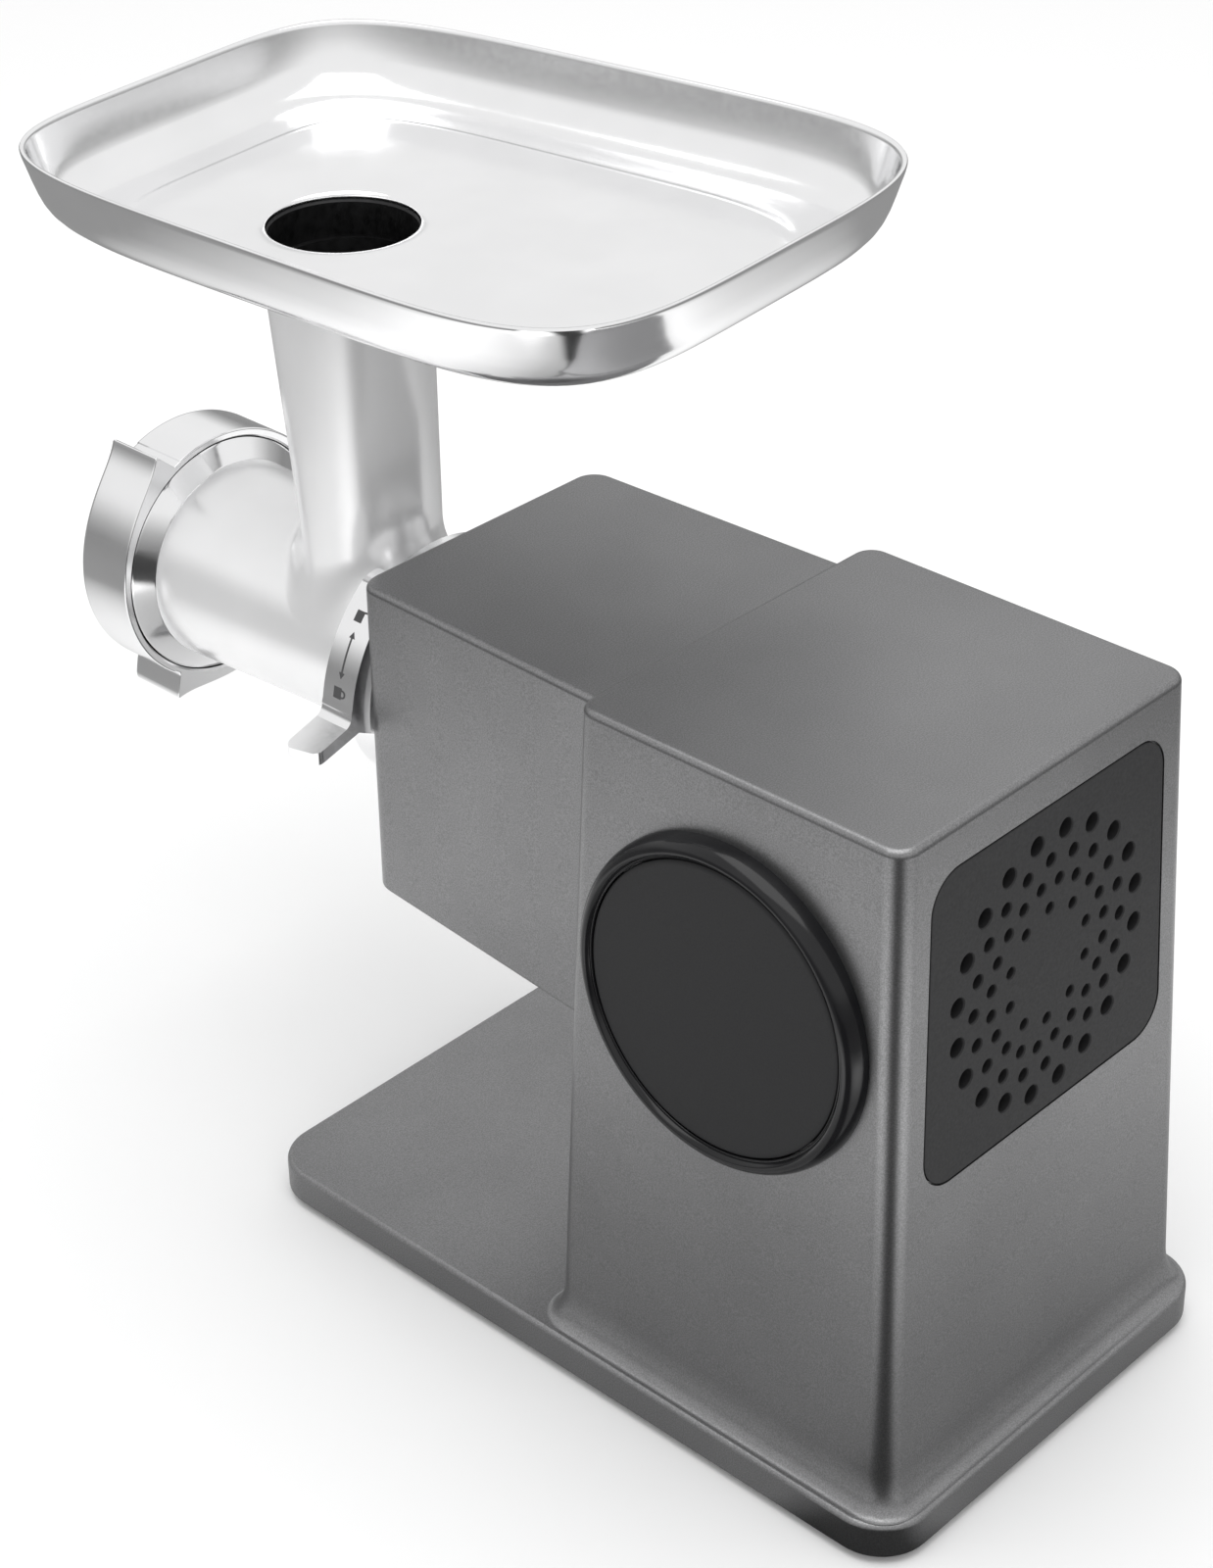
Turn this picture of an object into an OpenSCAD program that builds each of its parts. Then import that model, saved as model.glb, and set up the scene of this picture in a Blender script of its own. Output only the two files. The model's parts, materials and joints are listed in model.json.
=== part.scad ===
// Electric meat grinder with a metal head on a geared motor body.
// The meat outlet faces -Y and +Z is up.
// The origin is under the middle of the base slab, on the surface that the feet stand on.

/* [Base] */
// Width of the base slab
base_w = 180; // [172:1:230]
// Length of the base slab
base_l = 299; // [285:1:370]
// Thickness of the base slab
base_t = 13.4; // [11:0.2:20]
// Corner radius of the base slab
base_corner = 19; // [10:1:30]
// Height that the feet stand out below the slab
foot_h = 3; // [2:0.5:8]
// Diameter of a foot
foot_d = 18; // [12:1:24]

/* [Tower] */
// Width of the tower at its top
tower_w = 146; // [136:1:150]
// Length of the tower at its top
tower_l = 131.5; // [126:0.5:136]
// Height of the tower above the underside of the slab
tower_h = 260; // [250:1:320]
// Spread of each side wall per millimetre of drop
side_draft = 0.034; // [0:0.002:0.04]
// Spread of the back wall per millimetre of drop
back_draft = 0.042; // [0:0.002:0.05]
// Spread of the front wall per millimetre of drop
front_draft = 0.027; // [0:0.001:0.04]
// Radius of the upright edges
edge_r = 8; // [4:1:14]
// Radius of the top edges
top_r = 2.5; // [1:0.5:4]
// Height of the flared foot of the tower
flare_h = 14; // [8:1:30]
// Width of the flared foot of the tower
flare_w = 6.5; // [3:0.5:7]
// Wall thickness of the painted castings
wall = 3; // [2.4:0.2:4]

/* [Gear housing block] */
// Length of the block in front of the tower
block_l = 115.4; // [108:1:130]
// Width of the block at the tower
block_w = 123.6; // [120:0.2:130]
// Width of the block at its front
block_front_w = 116; // [112:1:122]
// Step from the tower's top down to the block's top
block_step = 4; // [2:0.5:8]
// Height of the block's front face
block_front_h = 121.6; // [118:0.2:126]
// How much deeper the block is at the tower than at its front
block_slope = 6.4; // [2:0.2:10]

/* [Drive] */
// Distance of the auger axis below the block's top
axis_drop = 61; // [60:0.5:64]
// Teeth of the motor pinion
pinion_teeth = 12; // [12:1:14]
// Teeth of the first gear
first_teeth = 84; // [72:1:90]
// Module of the first pair
first_module = 0.8; // [0.75:0.05:0.85]
// Teeth of the second pinion
second_teeth = 12; // [12:1:14]
// Teeth of the output gear
output_teeth = 66; // [60:1:68]
// Module of the second pair
second_module = 1.25; // [1.15:0.05:1.25]
// Sideways place of the countershaft
counter_x = -32; // [-34:1:-28]
// Width of the first gear
first_width = 10; // [8:1:12]
// Width of the output gear
output_width = 18; // [12:1:20]
// Radius of the motor's stator
stator_r = 46; // [42:1:50]
// Length of the motor's stator
stator_l = 44; // [36:1:46]
// Radius of the armature
armature_r = 24; // [20:1:28]
// Radius of the motor shaft
rotor_shaft_r = 4; // [3.5:0.5:5]
// Radius of the countershaft
counter_shaft_r = 5; // [4:0.5:5]
// Radius of the output shaft
output_shaft_r = 10; // [8:0.5:12]
// Width across the flats of the auger's drive end
drive_flats = 16; // [14:1:18]

/* [Head] */
// Gap between the locking ring and the feed tube
tube_gap = 3.6; // [2:0.2:12]
// Height of the feed tube's mouth above the auger axis
tube_rise = 154.4; // [128:0.2:190]
// Bore radius of the feed tube
tube_bore_r = 26; // [21:0.5:31.5]
// Wall thickness of the feed tube
tube_wall = 4; // [3:0.2:5]
// Lean of the feed tube's front wall in degrees
tube_lean = 6.9; // [4:0.1:7]
// Bore radius of the barrel
bore_r = 31; // [25.5:0.5:32]
// Wall thickness of the barrel behind the feed tube
barrel_wall = 3.6; // [3:0.2:5]
// Distance of the threaded end's shoulder from the front of the feed tube's mouth
barrel_nose = 47.8; // [44:0.2:66]
// How far the threaded end stands out past the barrel in front of the feed tube
barrel_step = 7.2; // [5.6:0.2:8]
// Length of the threaded end
thread_l = 15.4; // [14:0.2:18]
// Wall thickness of the threaded end round the hole plate
thread_wall = 5.2; // [4:0.2:7]
// Wall thickness of the spigot that goes into the collar
spigot_wall = 2; // [1.6:0.1:2.6]
// Length of the spigot
spigot_l = 44.4; // [40:0.2:48]
// Radius of the hole plate
plate_r = 41; // [38:0.5:50]
// Thickness of the hole plate
plate_t = 8; // [6:0.5:9]
// Radius of a hole in the plate
plate_hole_r = 2.5; // [2:0.25:2.75]
// Thickness of the knife
knife_t = 10; // [8:0.5:11]
// Gap between the auger's flight and the barrel's bore
auger_gap = 0.8; // [0.5:0.1:2]
// Pitch of the auger's flight
auger_pitch = 34; // [28:1:40]
// Thinnest wall of the screw ring, between its lobes
ring_wall = 2.6; // [2.2:0.1:5]
// Height of the screw ring's lobes
lobe_h = 9.7; // [6:0.1:12]
// Length of the screw ring
ring_l = 26; // [24:0.5:30]

/* [Locking ring] */
// Wall thickness of the collar on the block's front
collar_wall = 6.5; // [5:0.1:8]
// Wall thickness of the locking ring's hub
lock_wall = 6.4; // [5:0.1:8]
// Length of the locking ring
lock_l = 23.4; // [20:0.2:30]
// Height of the strap over the hub
strap_rise = 13.5; // [10:0.5:15]
// Width of the strap
strap_w = 15; // [12:0.5:15]
// Length of the thumb tab
tab_l = 19.5; // [10:0.5:22]
// Thickness of the thumb tab
tab_t = 4.6; // [3:0.2:6]

/* [Tray] */
// Length of the tray's rim
tray_l = 278; // [220:1:300]
// Width of the tray's rim
tray_w = 209; // [170:1:230]
// Depth of the tray
tray_depth = 29; // [20:1:40]
// Wall thickness of the tray
tray_wall = 1.8; // [1.4:0.2:2.4]
// Sideways place of the tray's middle
tray_x = -22; // [-30:1:0]
// How far the tray's middle lies behind the feed tube's axis
tray_back = 33; // [20:1:45]
// Turn of the tray about the feed tube in degrees
tray_turn = 5.5; // [0:0.1:10]
// How much wider the tray is at its rear and narrower at its front, as a share
tray_taper = 0.07; // [0:0.005:0.08]
// Length of the collar below the tray
tray_collar_l = 16; // [10:1:20]

/* [Round panels] */
// Radius over a side bezel
bezel_r = 58; // [54:0.5:61]
// Height that a bezel stands out of the wall
bezel_h = 8; // [5:0.5:10]
// Radius of the cover inside a bezel
cover_r = 51; // [42:0.5:52]
// Height of a panel's middle above the underside of the slab
panel_h = 179; // [170:1:182]
// Distance of a panel's middle from the tower's front
panel_y = 66; // [64:1:68]
// Radius of the selector knob
knob_r = 19; // [15:0.5:22]

/* [Vent panel] */
// Half width of the vent panel at its top
vent_half_w = 58.8; // [52:0.2:60]
// Height of the vent panel's lower edge above the underside of the slab
vent_low = 131.4; // [120:0.2:140]
// Height of the vent panel's upper edge above the underside of the slab
vent_high = 244.9; // [235:0.1:246]
// Height of the middle of the hole rings above the underside of the slab
vent_mid = 186.7; // [180:0.1:192]
// Corner radius of the vent panel
vent_corner = 13; // [8:1:18]

/* [Hidden] */
$fn = 64;
eps = 0.01;

// colours
paint = [0.42, 0.42, 0.42];
alloy = [0.80, 0.81, 0.82];
steel = [0.62, 0.63, 0.65];
dark = [0.16, 0.16, 0.17];
gloss = [0.05, 0.05, 0.05];
copper = [0.72, 0.40, 0.20];
nylon = [0.86, 0.84, 0.76];

// clearances
slide_gap = 0.3;      // between large sliding faces
run_gap = 0.08;       // between a shaft and its bearing
face_gap = 0.2;       // between faces that turn against each other
panel_gap = 0.6;      // round a panel in its opening

// main levels and stations
z0 = foot_h;
base_top = z0 + base_t;
tower_top = z0 + tower_h;
tower_y = -0.8;
block_top = tower_top - block_step;
block_y = tower_y - block_l;
block_front_low = block_top - block_front_h;
axis_z = block_top - axis_drop;
side_tilt = atan(side_draft);
back_tilt = atan(back_draft);

// tower faces at a height above the underside of the slab
function tower_half(h) = tower_w / 2 + side_draft * (tower_h - h);
function tower_back(h) = tower_y + tower_l + back_draft * (tower_h - h);
function tower_front(h) = tower_y - front_draft * (tower_h - h);

// ---------- outlines and lofts ----------

function unit(v) = v / norm(v);

// points of an arc that rounds corner b between a and c
function corner(a, b, c, r, seg) =
    let (u = unit(a - b), v = unit(c - b), half = acos(u * v) / 2)
    let (m = b + unit(u + v) * r / sin(half))
    let (p = b + u * r / tan(half) - m, q = b + v * r / tan(half) - m)
    let (from = atan2(p.y, p.x), turn = atan2(p.x * q.y - p.y * q.x, p * q))
    [for (i = [0 : seg]) m + r * [cos(from + turn * i / seg), sin(from + turn * i / seg)]];

// a counter-clockwise polygon with each corner rounded by its own radius
function rounded(pts, radii, seg = 6) =
    let (n = len(pts))
    [for (i = [0 : n - 1])
        each corner(pts[(i + n - 1) % n], pts[i], pts[(i + 1) % n], radii[i], seg)];

function box_outline(x0, x1, y0, y1, front_r, back_r, seg = 6) =
    rounded([[x0, y0], [x1, y0], [x1, y1], [x0, y1]], [front_r, front_r, back_r, back_r], seg);

// a solid through outlines of equal length, given as [height, points]
module loft(levels) {
    n = len(levels[0][1]);
    k = len(levels);
    pts = [for (lv = levels) for (p = lv[1]) [p.x, p.y, lv[0]]];
    sides = [for (i = [0 : k - 2]) for (j = [0 : n - 1])
        [i * n + j, (i + 1) * n + j, (i + 1) * n + (j + 1) % n, i * n + (j + 1) % n]];
    polyhedron(pts, concat([[for (j = [0 : n - 1]) j]], sides,
                           [[for (j = [n - 1 : -1 : 0]) (k - 1) * n + j]]), convexity = 6);
}

// turns Z to -Y and Y to Z, so that a profile drawn in X and Z is extruded towards the outlet
module along_axis(y, z = 0, x = 0) { translate([x, y, z]) rotate([90, 0, 0]) children(); }

// a rod along Y from y_from down to y_to
module rod(r, y_from, y_to, x = 0, z = axis_z, r_end = undef) {
    along_axis(y_from, z, x)
        cylinder(h = y_from - y_to, r1 = r, r2 = is_undef(r_end) ? r : r_end);
}

// places local Z along the outward normal of a tower side, side = 1 or -1
module on_side(side, y, h) {
    translate([side * tower_half(h), y, z0 + h]) rotate([90 - side_tilt, 0, side * 90]) children();
}

// places local Z along the outward normal of the tower's back
module on_back(h) { translate([0, tower_back(h), z0 + h]) rotate([90 - back_tilt, 0, 180]) children(); }

// ---------- painted castings ----------

// how far the foot flares out at height t above the slab, on a quarter ellipse
function flare(t) = t >= flare_h ? 0 : flare_w * (1 - sqrt(1 - pow(1 - t / flare_h, 2)));

// the tower's plan at a height, inset or flared out on every side
function tower_plan(h, inset, out = 0) =
    let (w = tower_half(h) + out - inset)
    box_outline(-w, w, tower_front(h) + inset - out, tower_back(h) + out - inset,
                max(edge_r + out - inset, 2), max(edge_r + out - inset, 2));

// rounding steps of a top edge, as [drop below the top, inset]
function edge_steps(r) = [for (a = [0 : 30 : 90]) [r * (1 - sin(a)), r * (1 - cos(a))]];

module tower_outside() {
    foot = [for (t = [0 : 0.125 : 1]) let (h = flare_h * t)
        [base_top - eps + h, tower_plan(base_t + h, 0, flare(h))]];
    crown = [for (s = edge_steps(top_r)) [tower_top - s[0], tower_plan(tower_h - s[0], s[1])]];
    loft(concat(foot, crown));
}

module tower_cavity() {
    loft([[z0 - 1, tower_plan(0, wall)], [tower_top - wall, tower_plan(tower_h - wall, wall)]]);
}

module slab(inset, low, high, edge) {
    plan = function(i) box_outline(-base_w / 2 + i, base_w / 2 - i, -base_l / 2 + i, base_l / 2 - i,
                                   base_corner - i, base_corner - i);
    loft(concat([[low, plan(inset)]], [for (s = edge_steps(edge)) [high - s[0], plan(inset + s[1])]]));
}

// window in the tower's front wall that the gearbox goes through, hidden by the gear housing
window_half = block_front_w / 2 - 10;
window_low = block_front_low + 8;
window_high = block_top - 10;

// outline of the vent panel in its own plane, from the middle of the hole rings
function vent_outline(grow) =
    let (low = vent_low - vent_mid - grow, high = vent_high - vent_mid + grow)
    let (top = vent_half_w + grow, foot = top + side_draft * (high - low))
    rounded([[-foot, low], [foot, low], [top, high], [-top, high]],
            [for (i = [0 : 3]) vent_corner + grow], 8);
vent_t = 4;           // thickness of the vent panel inside its ledge
vent_face_t = 1.8;    // thickness of the panel over the ledge
vent_ledge = 5;       // width of the ledge

panel_mid_y = tower_y + panel_y;
cable_h = base_t + flare_h + 22;
cable_y = tower_y + tower_l - 22;
gland_r = 9;

switch_hole_r = 30;
module body_shell() {
    color(paint) difference() {
        union() {
            difference() {
                union() {
                    slab(0, z0, base_top, 2);
                    tower_outside();
                }
                tower_cavity();
                slab(wall, z0 - 1, base_top - wall, 1);
            }
            intersection() {
                at_bosses() rod(boss_r, rear_plate_y - gear_plate_t, tower_y - 12, 0, 0);
                tower_outside();
            }
            intersection() {
                at_bottom_screws(z0 + bottom_t)
                    cylinder(h = base_t - wall - bottom_t + 1, r = 4.5);
                slab(1, z0, base_top, 1);
            }
        }
        translate([-window_half, tower_y - 20, window_low])
            cube([2 * window_half, 20 + wall + 1, window_high - window_low]);
        at_bosses() rod(boss_screw_r, rear_plate_y, rear_plate_y - gear_plate_t - 3, 0, 0);
        at_bottom_screws(z0) cylinder(h = bottom_screw_l, r = bottom_screw_r);
        on_back(vent_mid) {
            translate([0, 0, -vent_face_t]) linear_extrude(10) polygon(vent_outline(panel_gap));
            translate([0, 0, -10]) linear_extrude(12) polygon(vent_outline(-vent_ledge));
        }
        on_side(-1, panel_mid_y, panel_h) translate([0, 0, -10]) cylinder(h = 20, r = switch_hole_r);
        on_side(-1, cable_y, cable_h) translate([0, 0, -10]) cylinder(h = 20, r = gland_r);
    }
}

// plan of the gear housing, inset on its three outer sides and open at the tower
function block_plan(inset, back) =
    let (y_back = tower_front(tower_h - block_step - block_front_h) + back)
    let (w = block_w / 2 - inset, f = block_front_w / 2 - inset, y = block_y + inset)
    rounded([[-w, y_back], [-f, y], [f, y], [w, y_back]],
            [0.5, max(edge_r - inset, 2), max(edge_r - inset, 2), 0.5]);

module under_block(rise) {
    low = block_front_low + rise;
    rotate([90, 0, 90]) linear_extrude(200, center = true)
        polygon([[block_y - 20, 0], [20, 0], [20, low - block_slope * (20 - block_y) / block_l],
                 [block_y - 20, low + block_slope * 20 / block_l]]);
}

module gear_housing() {
    crown = [for (s = edge_steps(top_r)) [block_top - s[0], block_plan(s[1], 0)]];
    color(paint) difference() {
        loft(concat([[block_front_low - 20, block_plan(0, 0)]], crown));
        difference() {
            loft([[block_front_low - 30, block_plan(wall, 5)], [block_top - wall, block_plan(wall, 5)]]);
            under_block(wall);
        }
        under_block(0);
        rod(collar_bore_cut, block_y + 10, block_y - 10);
        body_front_face();
        for (a = screw_angles) on_collar(a) rod(screw_r + 0.2, 10, -10, 0, 0);
    }
}

// everything behind the tower's drafted front face, so the housing ends flush against it
module body_front_face() {
    rotate([90, 0, 90]) linear_extrude(200, center = true)
        polygon([[tower_front(0), z0], [60, z0], [60, tower_top + 10],
                 [tower_front(tower_h) + 10 * front_draft, tower_top + 10]]);
}

// ---------- underside ----------

bottom_t = 2.5;
foot_stem_r = 3;
foot_x = base_w / 2 - 24;
foot_y = base_l / 2 - 24;
bottom_screw_x = base_w / 2 - 12;
bottom_screw_r = 1.8;
bottom_screw_l = base_t - wall;

module at_bottom_screws(z) {
    for (x = [-bottom_screw_x, bottom_screw_x]) for (y = [-base_l / 4, 0, base_l / 4])
        translate([x, y, z]) children();
}

module bottom_plate() {
    color(dark) difference() {
        slab(wall + 0.3, z0, z0 + bottom_t, 0.1);
        for (x = [-foot_x, foot_x]) for (y = [-foot_y, foot_y])
            translate([x, y, z0 - 1]) cylinder(h = 6, r = foot_stem_r);
        at_bottom_screws(z0 - 1) cylinder(h = 6, r = bottom_screw_r);
        for (x = [-24 : 8 : 24]) translate([x - 1.5, 40, z0 - 1]) cube([3, 60, 6]);
    }
}

module feet() {
    color(dark) for (x = [-foot_x, foot_x]) for (y = [-foot_y, foot_y]) translate([x, y, 0]) {
        cylinder(h = foot_h, r1 = foot_d / 2 - 1, r2 = foot_d / 2);
        translate([0, 0, foot_h - eps]) cylinder(h = bottom_t + 2, r = foot_stem_r);
    }
}

module bottom_screws() {
    color(steel) at_bottom_screws(z0) {
        translate([0, 0, -1.2]) cylinder(h = 1.2, r = 3.5);
        cylinder(h = bottom_screw_l, r = bottom_screw_r);
    }
}

// ---------- vent panel ----------

// hole rings as [count, ring radius, hole radius, start angle]
vent_rings = [[20, 46.9, 3.3, 9], [20, 38.2, 2.4, 0], [20, 29.7, 2.2, 9], [10, 20.6, 2.0, 18]];

module vent_panel() {
    color(dark) on_back(vent_mid) difference() {
        union() {
            translate([0, 0, -vent_face_t]) linear_extrude(vent_face_t) polygon(vent_outline(0));
            translate([0, 0, -vent_t]) linear_extrude(vent_t - eps)
                polygon(vent_outline(-vent_ledge - panel_gap));
        }
        for (g = vent_rings) for (i = [0 : g[0] - 1]) rotate(g[3] + i * 360 / g[0])
            translate([g[1], 0, -10]) cylinder(h = 20, r = g[2], $fn = 20);
    }
}

// ---------- round panels ----------

// domed ring, stepped down to a lip round the cover
module bezel() {
    color(gloss) rotate_extrude() polygon(concat(
        [[cover_r + 0.4, 0], [bezel_r, 0]],
        [for (a = [0 : 15 : 90]) [bezel_r - 5 + 5 * cos(a), 1 + (bezel_h - 1) * sin(a)]],
        [[cover_r + 1.2, bezel_h - 1.6], [cover_r + 0.4, bezel_h - 1.6]]));
}

cover_h = bezel_h - 2.4;
module side_bezel() { on_side(1, panel_mid_y, panel_h) bezel(); }
module control_bezel() { on_side(-1, panel_mid_y, panel_h) bezel(); }

module side_cover() {
    color(dark) on_side(1, panel_mid_y, panel_h) {
        cylinder(h = cover_h, r = cover_r);
        translate([0, 0, cover_h - eps]) cylinder(h = 0.8, r1 = cover_r, r2 = cover_r - 0.8);
    }
}

knob_stem_r = 4;
module control_panel() {
    color(dark) on_side(-1, panel_mid_y, panel_h) difference() {
        cylinder(h = cover_h, r = cover_r);
        translate([0, 0, -5]) cylinder(h = 30, r = knob_stem_r + run_gap);
    }
}

module selector_switch() {
    color(dark) on_side(-1, panel_mid_y, panel_h) difference() {
        translate([-15, -15, -20]) cube([30, 30, 20]);
        translate([0, 0, -10]) cylinder(h = 30, r = knob_stem_r + run_gap);
    }
}

knob_base = cover_h + face_gap;
module selector_knob() {
    color(alloy) on_side(-1, panel_mid_y, panel_h) {
        translate([0, 0, knob_base]) cylinder(h = 12, r1 = knob_r, r2 = knob_r - 1.5);
        translate([-2.5, -knob_r + 2, knob_base + 11]) cube([5, 2 * knob_r - 4, 6]);
        translate([0, 0, -9]) cylinder(h = 9 + knob_base + 1, r = knob_stem_r);
    }
}

module knob_mark() {
    color("white") on_side(-1, panel_mid_y, panel_h)
        translate([-0.6, 6, knob_base + 17]) cube([1.2, knob_r - 10, 0.3]);
}

module inlet_gland() {
    color(gloss) on_side(-1, cable_y, cable_h) difference() {
        union() {
            translate([0, 0, -6]) cylinder(h = 7, r = gland_r - 0.1);
            cylinder(h = 3, r1 = gland_r + 3, r2 = gland_r + 1.5);
        }
        translate([0, 0, -10]) cylinder(h = 20, r = 4);
    }
}

// ---------- gear train ----------

mesh_angle = 25;      // pressure angle
mesh_slack = 0.12;    // taken off each tooth's thickness
axis_slack = 0.08;    // added to each pair's centre distance

function involute(a) = tan(a) * 180 / PI - a;

module gear_profile(teeth, module_mm) {
    pitch = teeth * module_mm / 2;
    base = pitch * cos(mesh_angle);
    tip = pitch + 0.9 * module_mm;
    root = pitch - 1.15 * module_mm;
    lean = function(r) involute(acos(min(1, base / r)));
    half = function(r) 90 / teeth - mesh_slack / pitch * 90 / PI + involute(mesh_angle) - lean(r);
    radii = [root, max(base, root + 0.1), pitch - 0.3 * module_mm, pitch,
             pitch + 0.45 * module_mm, tip];
    pts = [for (i = [0 : teeth - 1]) let (c = i * 360 / teeth) each concat(
        [for (r = radii) r * [cos(c - half(r)), sin(c - half(r))]],
        [for (j = [len(radii) - 1 : -1 : 0]) let (r = radii[j])
            r * [cos(c + half(r)), sin(c + half(r))]])];
    polygon(pts);
}

first_centres = first_module * (pinion_teeth + first_teeth) / 2 + axis_slack;
second_centres = second_module * (second_teeth + output_teeth) / 2 + axis_slack;
counter_z = axis_z - sqrt(pow(second_centres, 2) - pow(counter_x, 2));
motor_z = counter_z + sqrt(pow(first_centres, 2) - pow(counter_x, 2));
first_angle = atan2(counter_z - motor_z, counter_x);
second_angle = atan2(axis_z - counter_z, -counter_x);

// stations along Y, from the outlet side back to the fan
gear_plate_t = 4;
rear_plate_y = tower_y + 6.8;
front_plate_y = rear_plate_y - gear_plate_t - output_width - 24;
output_gear_y = rear_plate_y - gear_plate_t - 18;
first_gear_y = rear_plate_y + 4 + first_width;
front_bracket_y = first_gear_y + 10;
stator_y = front_bracket_y + 10 + stator_l;
rear_bracket_y = stator_y + 24;
fan_y = rear_bracket_y + 16;
fan_t = 11;
bracket_t = 4;
bolt_r = 2;
bearing_wall = 4;

module gear(teeth, module_mm, width, y, bore, x, z, turn) {
    along_axis(y, z, x) difference() {
        rotate(turn) linear_extrude(width) gear_profile(teeth, module_mm);
        translate([0, 0, -1]) cylinder(h = width + 2, r = bore);
    }
}

pinion_bore = 2.5;
module motor_pinion() {
    color(steel) gear(pinion_teeth, first_module, first_width + 2, first_gear_y + 1, pinion_bore,
                      0, motor_z, first_angle);
}

module first_gear() {
    color(nylon) difference() {
        gear(first_teeth, first_module, first_width, first_gear_y, counter_shaft_r,
             counter_x, counter_z, first_angle + 180 + 180 / first_teeth);
        for (a = [0 : 60 : 300])
            translate([counter_x + 19 * cos(a), 0, counter_z + 19 * sin(a)])
                rod(5, first_gear_y + 1, first_gear_y - first_width - 1, 0, 0);
    }
}

module second_pinion() {
    color(steel) gear(second_teeth, second_module, output_width + 4, output_gear_y + 2,
                      counter_shaft_r, counter_x, counter_z, second_angle);
}

module output_gear() {
    color(nylon) difference() {
        gear(output_teeth, second_module, output_width, output_gear_y, output_shaft_r,
             0, axis_z, second_angle + 180 + 180 / output_teeth);
        for (a = [0 : 60 : 300]) translate([25 * cos(a), 0, axis_z + 25 * sin(a)])
            rod(6, output_gear_y + 1, output_gear_y - output_width - 1, 0, 0);
    }
}

module counter_shaft() {
    color(steel) rod(counter_shaft_r, front_bracket_y, front_plate_y - gear_plate_t,
                     counter_x, counter_z);
}

// hexagonal prism along Y, by its width across the flats
module hex_rod(flats, y_from, y_to) {
    along_axis(y_from, axis_z) rotate(30)
        cylinder(h = y_from - y_to, r = flats / 2 / cos(30), $fn = 6);
}

socket_r = 15;
module output_shaft() {
    color(steel) difference() {
        union() {
            rod(output_shaft_r, rear_plate_y, socket_y + 4);
            rod(socket_r, socket_y + 18, socket_y);
        }
        hex_rod(drive_flats + 0.6, socket_y + 15, socket_y - 1);
    }
}

// a plate with bearing seats, given as [x, z, radius]
module bearing_plate(y, t, half_w, low, high, seats) {
    difference() {
        translate([-half_w, y - t, low]) cube([2 * half_w, t, high - low]);
        for (s = seats) rod(s[2], y + 1, y - t - 1, s[0], s[1]);
    }
}

plate_half = window_half - 2;
plate_low = window_low + 2;
plate_high = window_high - 2;
spacer_r = 3;
spacer_x = plate_half - spacer_r - 1.5;
spacer_zs = [plate_low + spacer_r + 1, plate_high - spacer_r - 1];
output_seat = output_shaft_r + bearing_wall;
counter_seat = counter_shaft_r + bearing_wall;
rotor_seat = rotor_shaft_r + bearing_wall;

module front_gear_plate() {
    color(steel) bearing_plate(front_plate_y, gear_plate_t, plate_half, plate_low, plate_high,
        [[0, axis_z, output_seat], [counter_x, counter_z, counter_seat]]);
}

boss_r = 4.5;
boss_x = window_half + boss_r + 1;
boss_zs = [window_low + 12, window_high - 12];
boss_screw_r = 1.8;

// the four bosses inside the tower's front wall that carry the rear gear plate
module at_bosses() { for (x = [-boss_x, boss_x]) for (z = boss_zs) translate([x, 0, z]) children(); }

module rear_gear_plate() {
    color(steel) difference() {
        bearing_plate(rear_plate_y, gear_plate_t, boss_x + boss_r, plate_low - 4, plate_high + 4,
            [[0, axis_z, output_seat], [counter_x, counter_z, counter_seat]]);
        at_bosses() rod(boss_screw_r, rear_plate_y + 1, rear_plate_y - gear_plate_t - 1, 0, 0);
    }
}

module gear_plate_screws() {
    color(steel) at_bosses() {
        rod(3.4, rear_plate_y + 2, rear_plate_y, 0, 0);
        rod(boss_screw_r, rear_plate_y, rear_plate_y - gear_plate_t - 3, 0, 0);
    }
}

module gearbox_spacers() {
    color(steel) for (x = [-spacer_x, spacer_x]) for (z = spacer_zs)
        rod(spacer_r, rear_plate_y - gear_plate_t, front_plate_y, x, z);
}

// a ball bearing as a ring that fills its seat and clears its shaft
module bearing(seat, shaft, y, t, x, z) {
    difference() {
        rod(seat, y, y - t, x, z);
        rod(shaft + run_gap, y + 1, y - t - 1, x, z);
    }
}

module shaft_bearings() {
    color(steel) {
        for (y = [rear_plate_y, front_plate_y]) {
            bearing(output_seat, output_shaft_r, y, gear_plate_t, 0, axis_z);
            bearing(counter_seat, counter_shaft_r, y, gear_plate_t, counter_x, counter_z);
        }
        bearing(counter_seat, counter_shaft_r, front_bracket_y, bracket_t, counter_x, counter_z);
        for (y = [front_bracket_y, rear_bracket_y])
            bearing(rotor_seat, rotor_shaft_r, y, bracket_t, 0, motor_z);
    }
}

// ---------- motor ----------

module motor_stator() {
    color(steel) difference() {
        rod(stator_r, stator_y, stator_y - stator_l, 0, motor_z);
        rod(armature_r + 1, stator_y + 1, stator_y - stator_l - 1, 0, motor_z);
        at_bolts() rod(bolt_r, stator_y + 1, stator_y - stator_l - 1, 0, 0);
    }
}

// the three through bolts, placed clear of the countershaft
bolt_angles = [30, 150, 285];
module at_bolts() {
    for (a = bolt_angles)
        translate([(stator_r - 5) * cos(a), 0, motor_z + (stator_r - 5) * sin(a)]) children();
}

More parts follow.
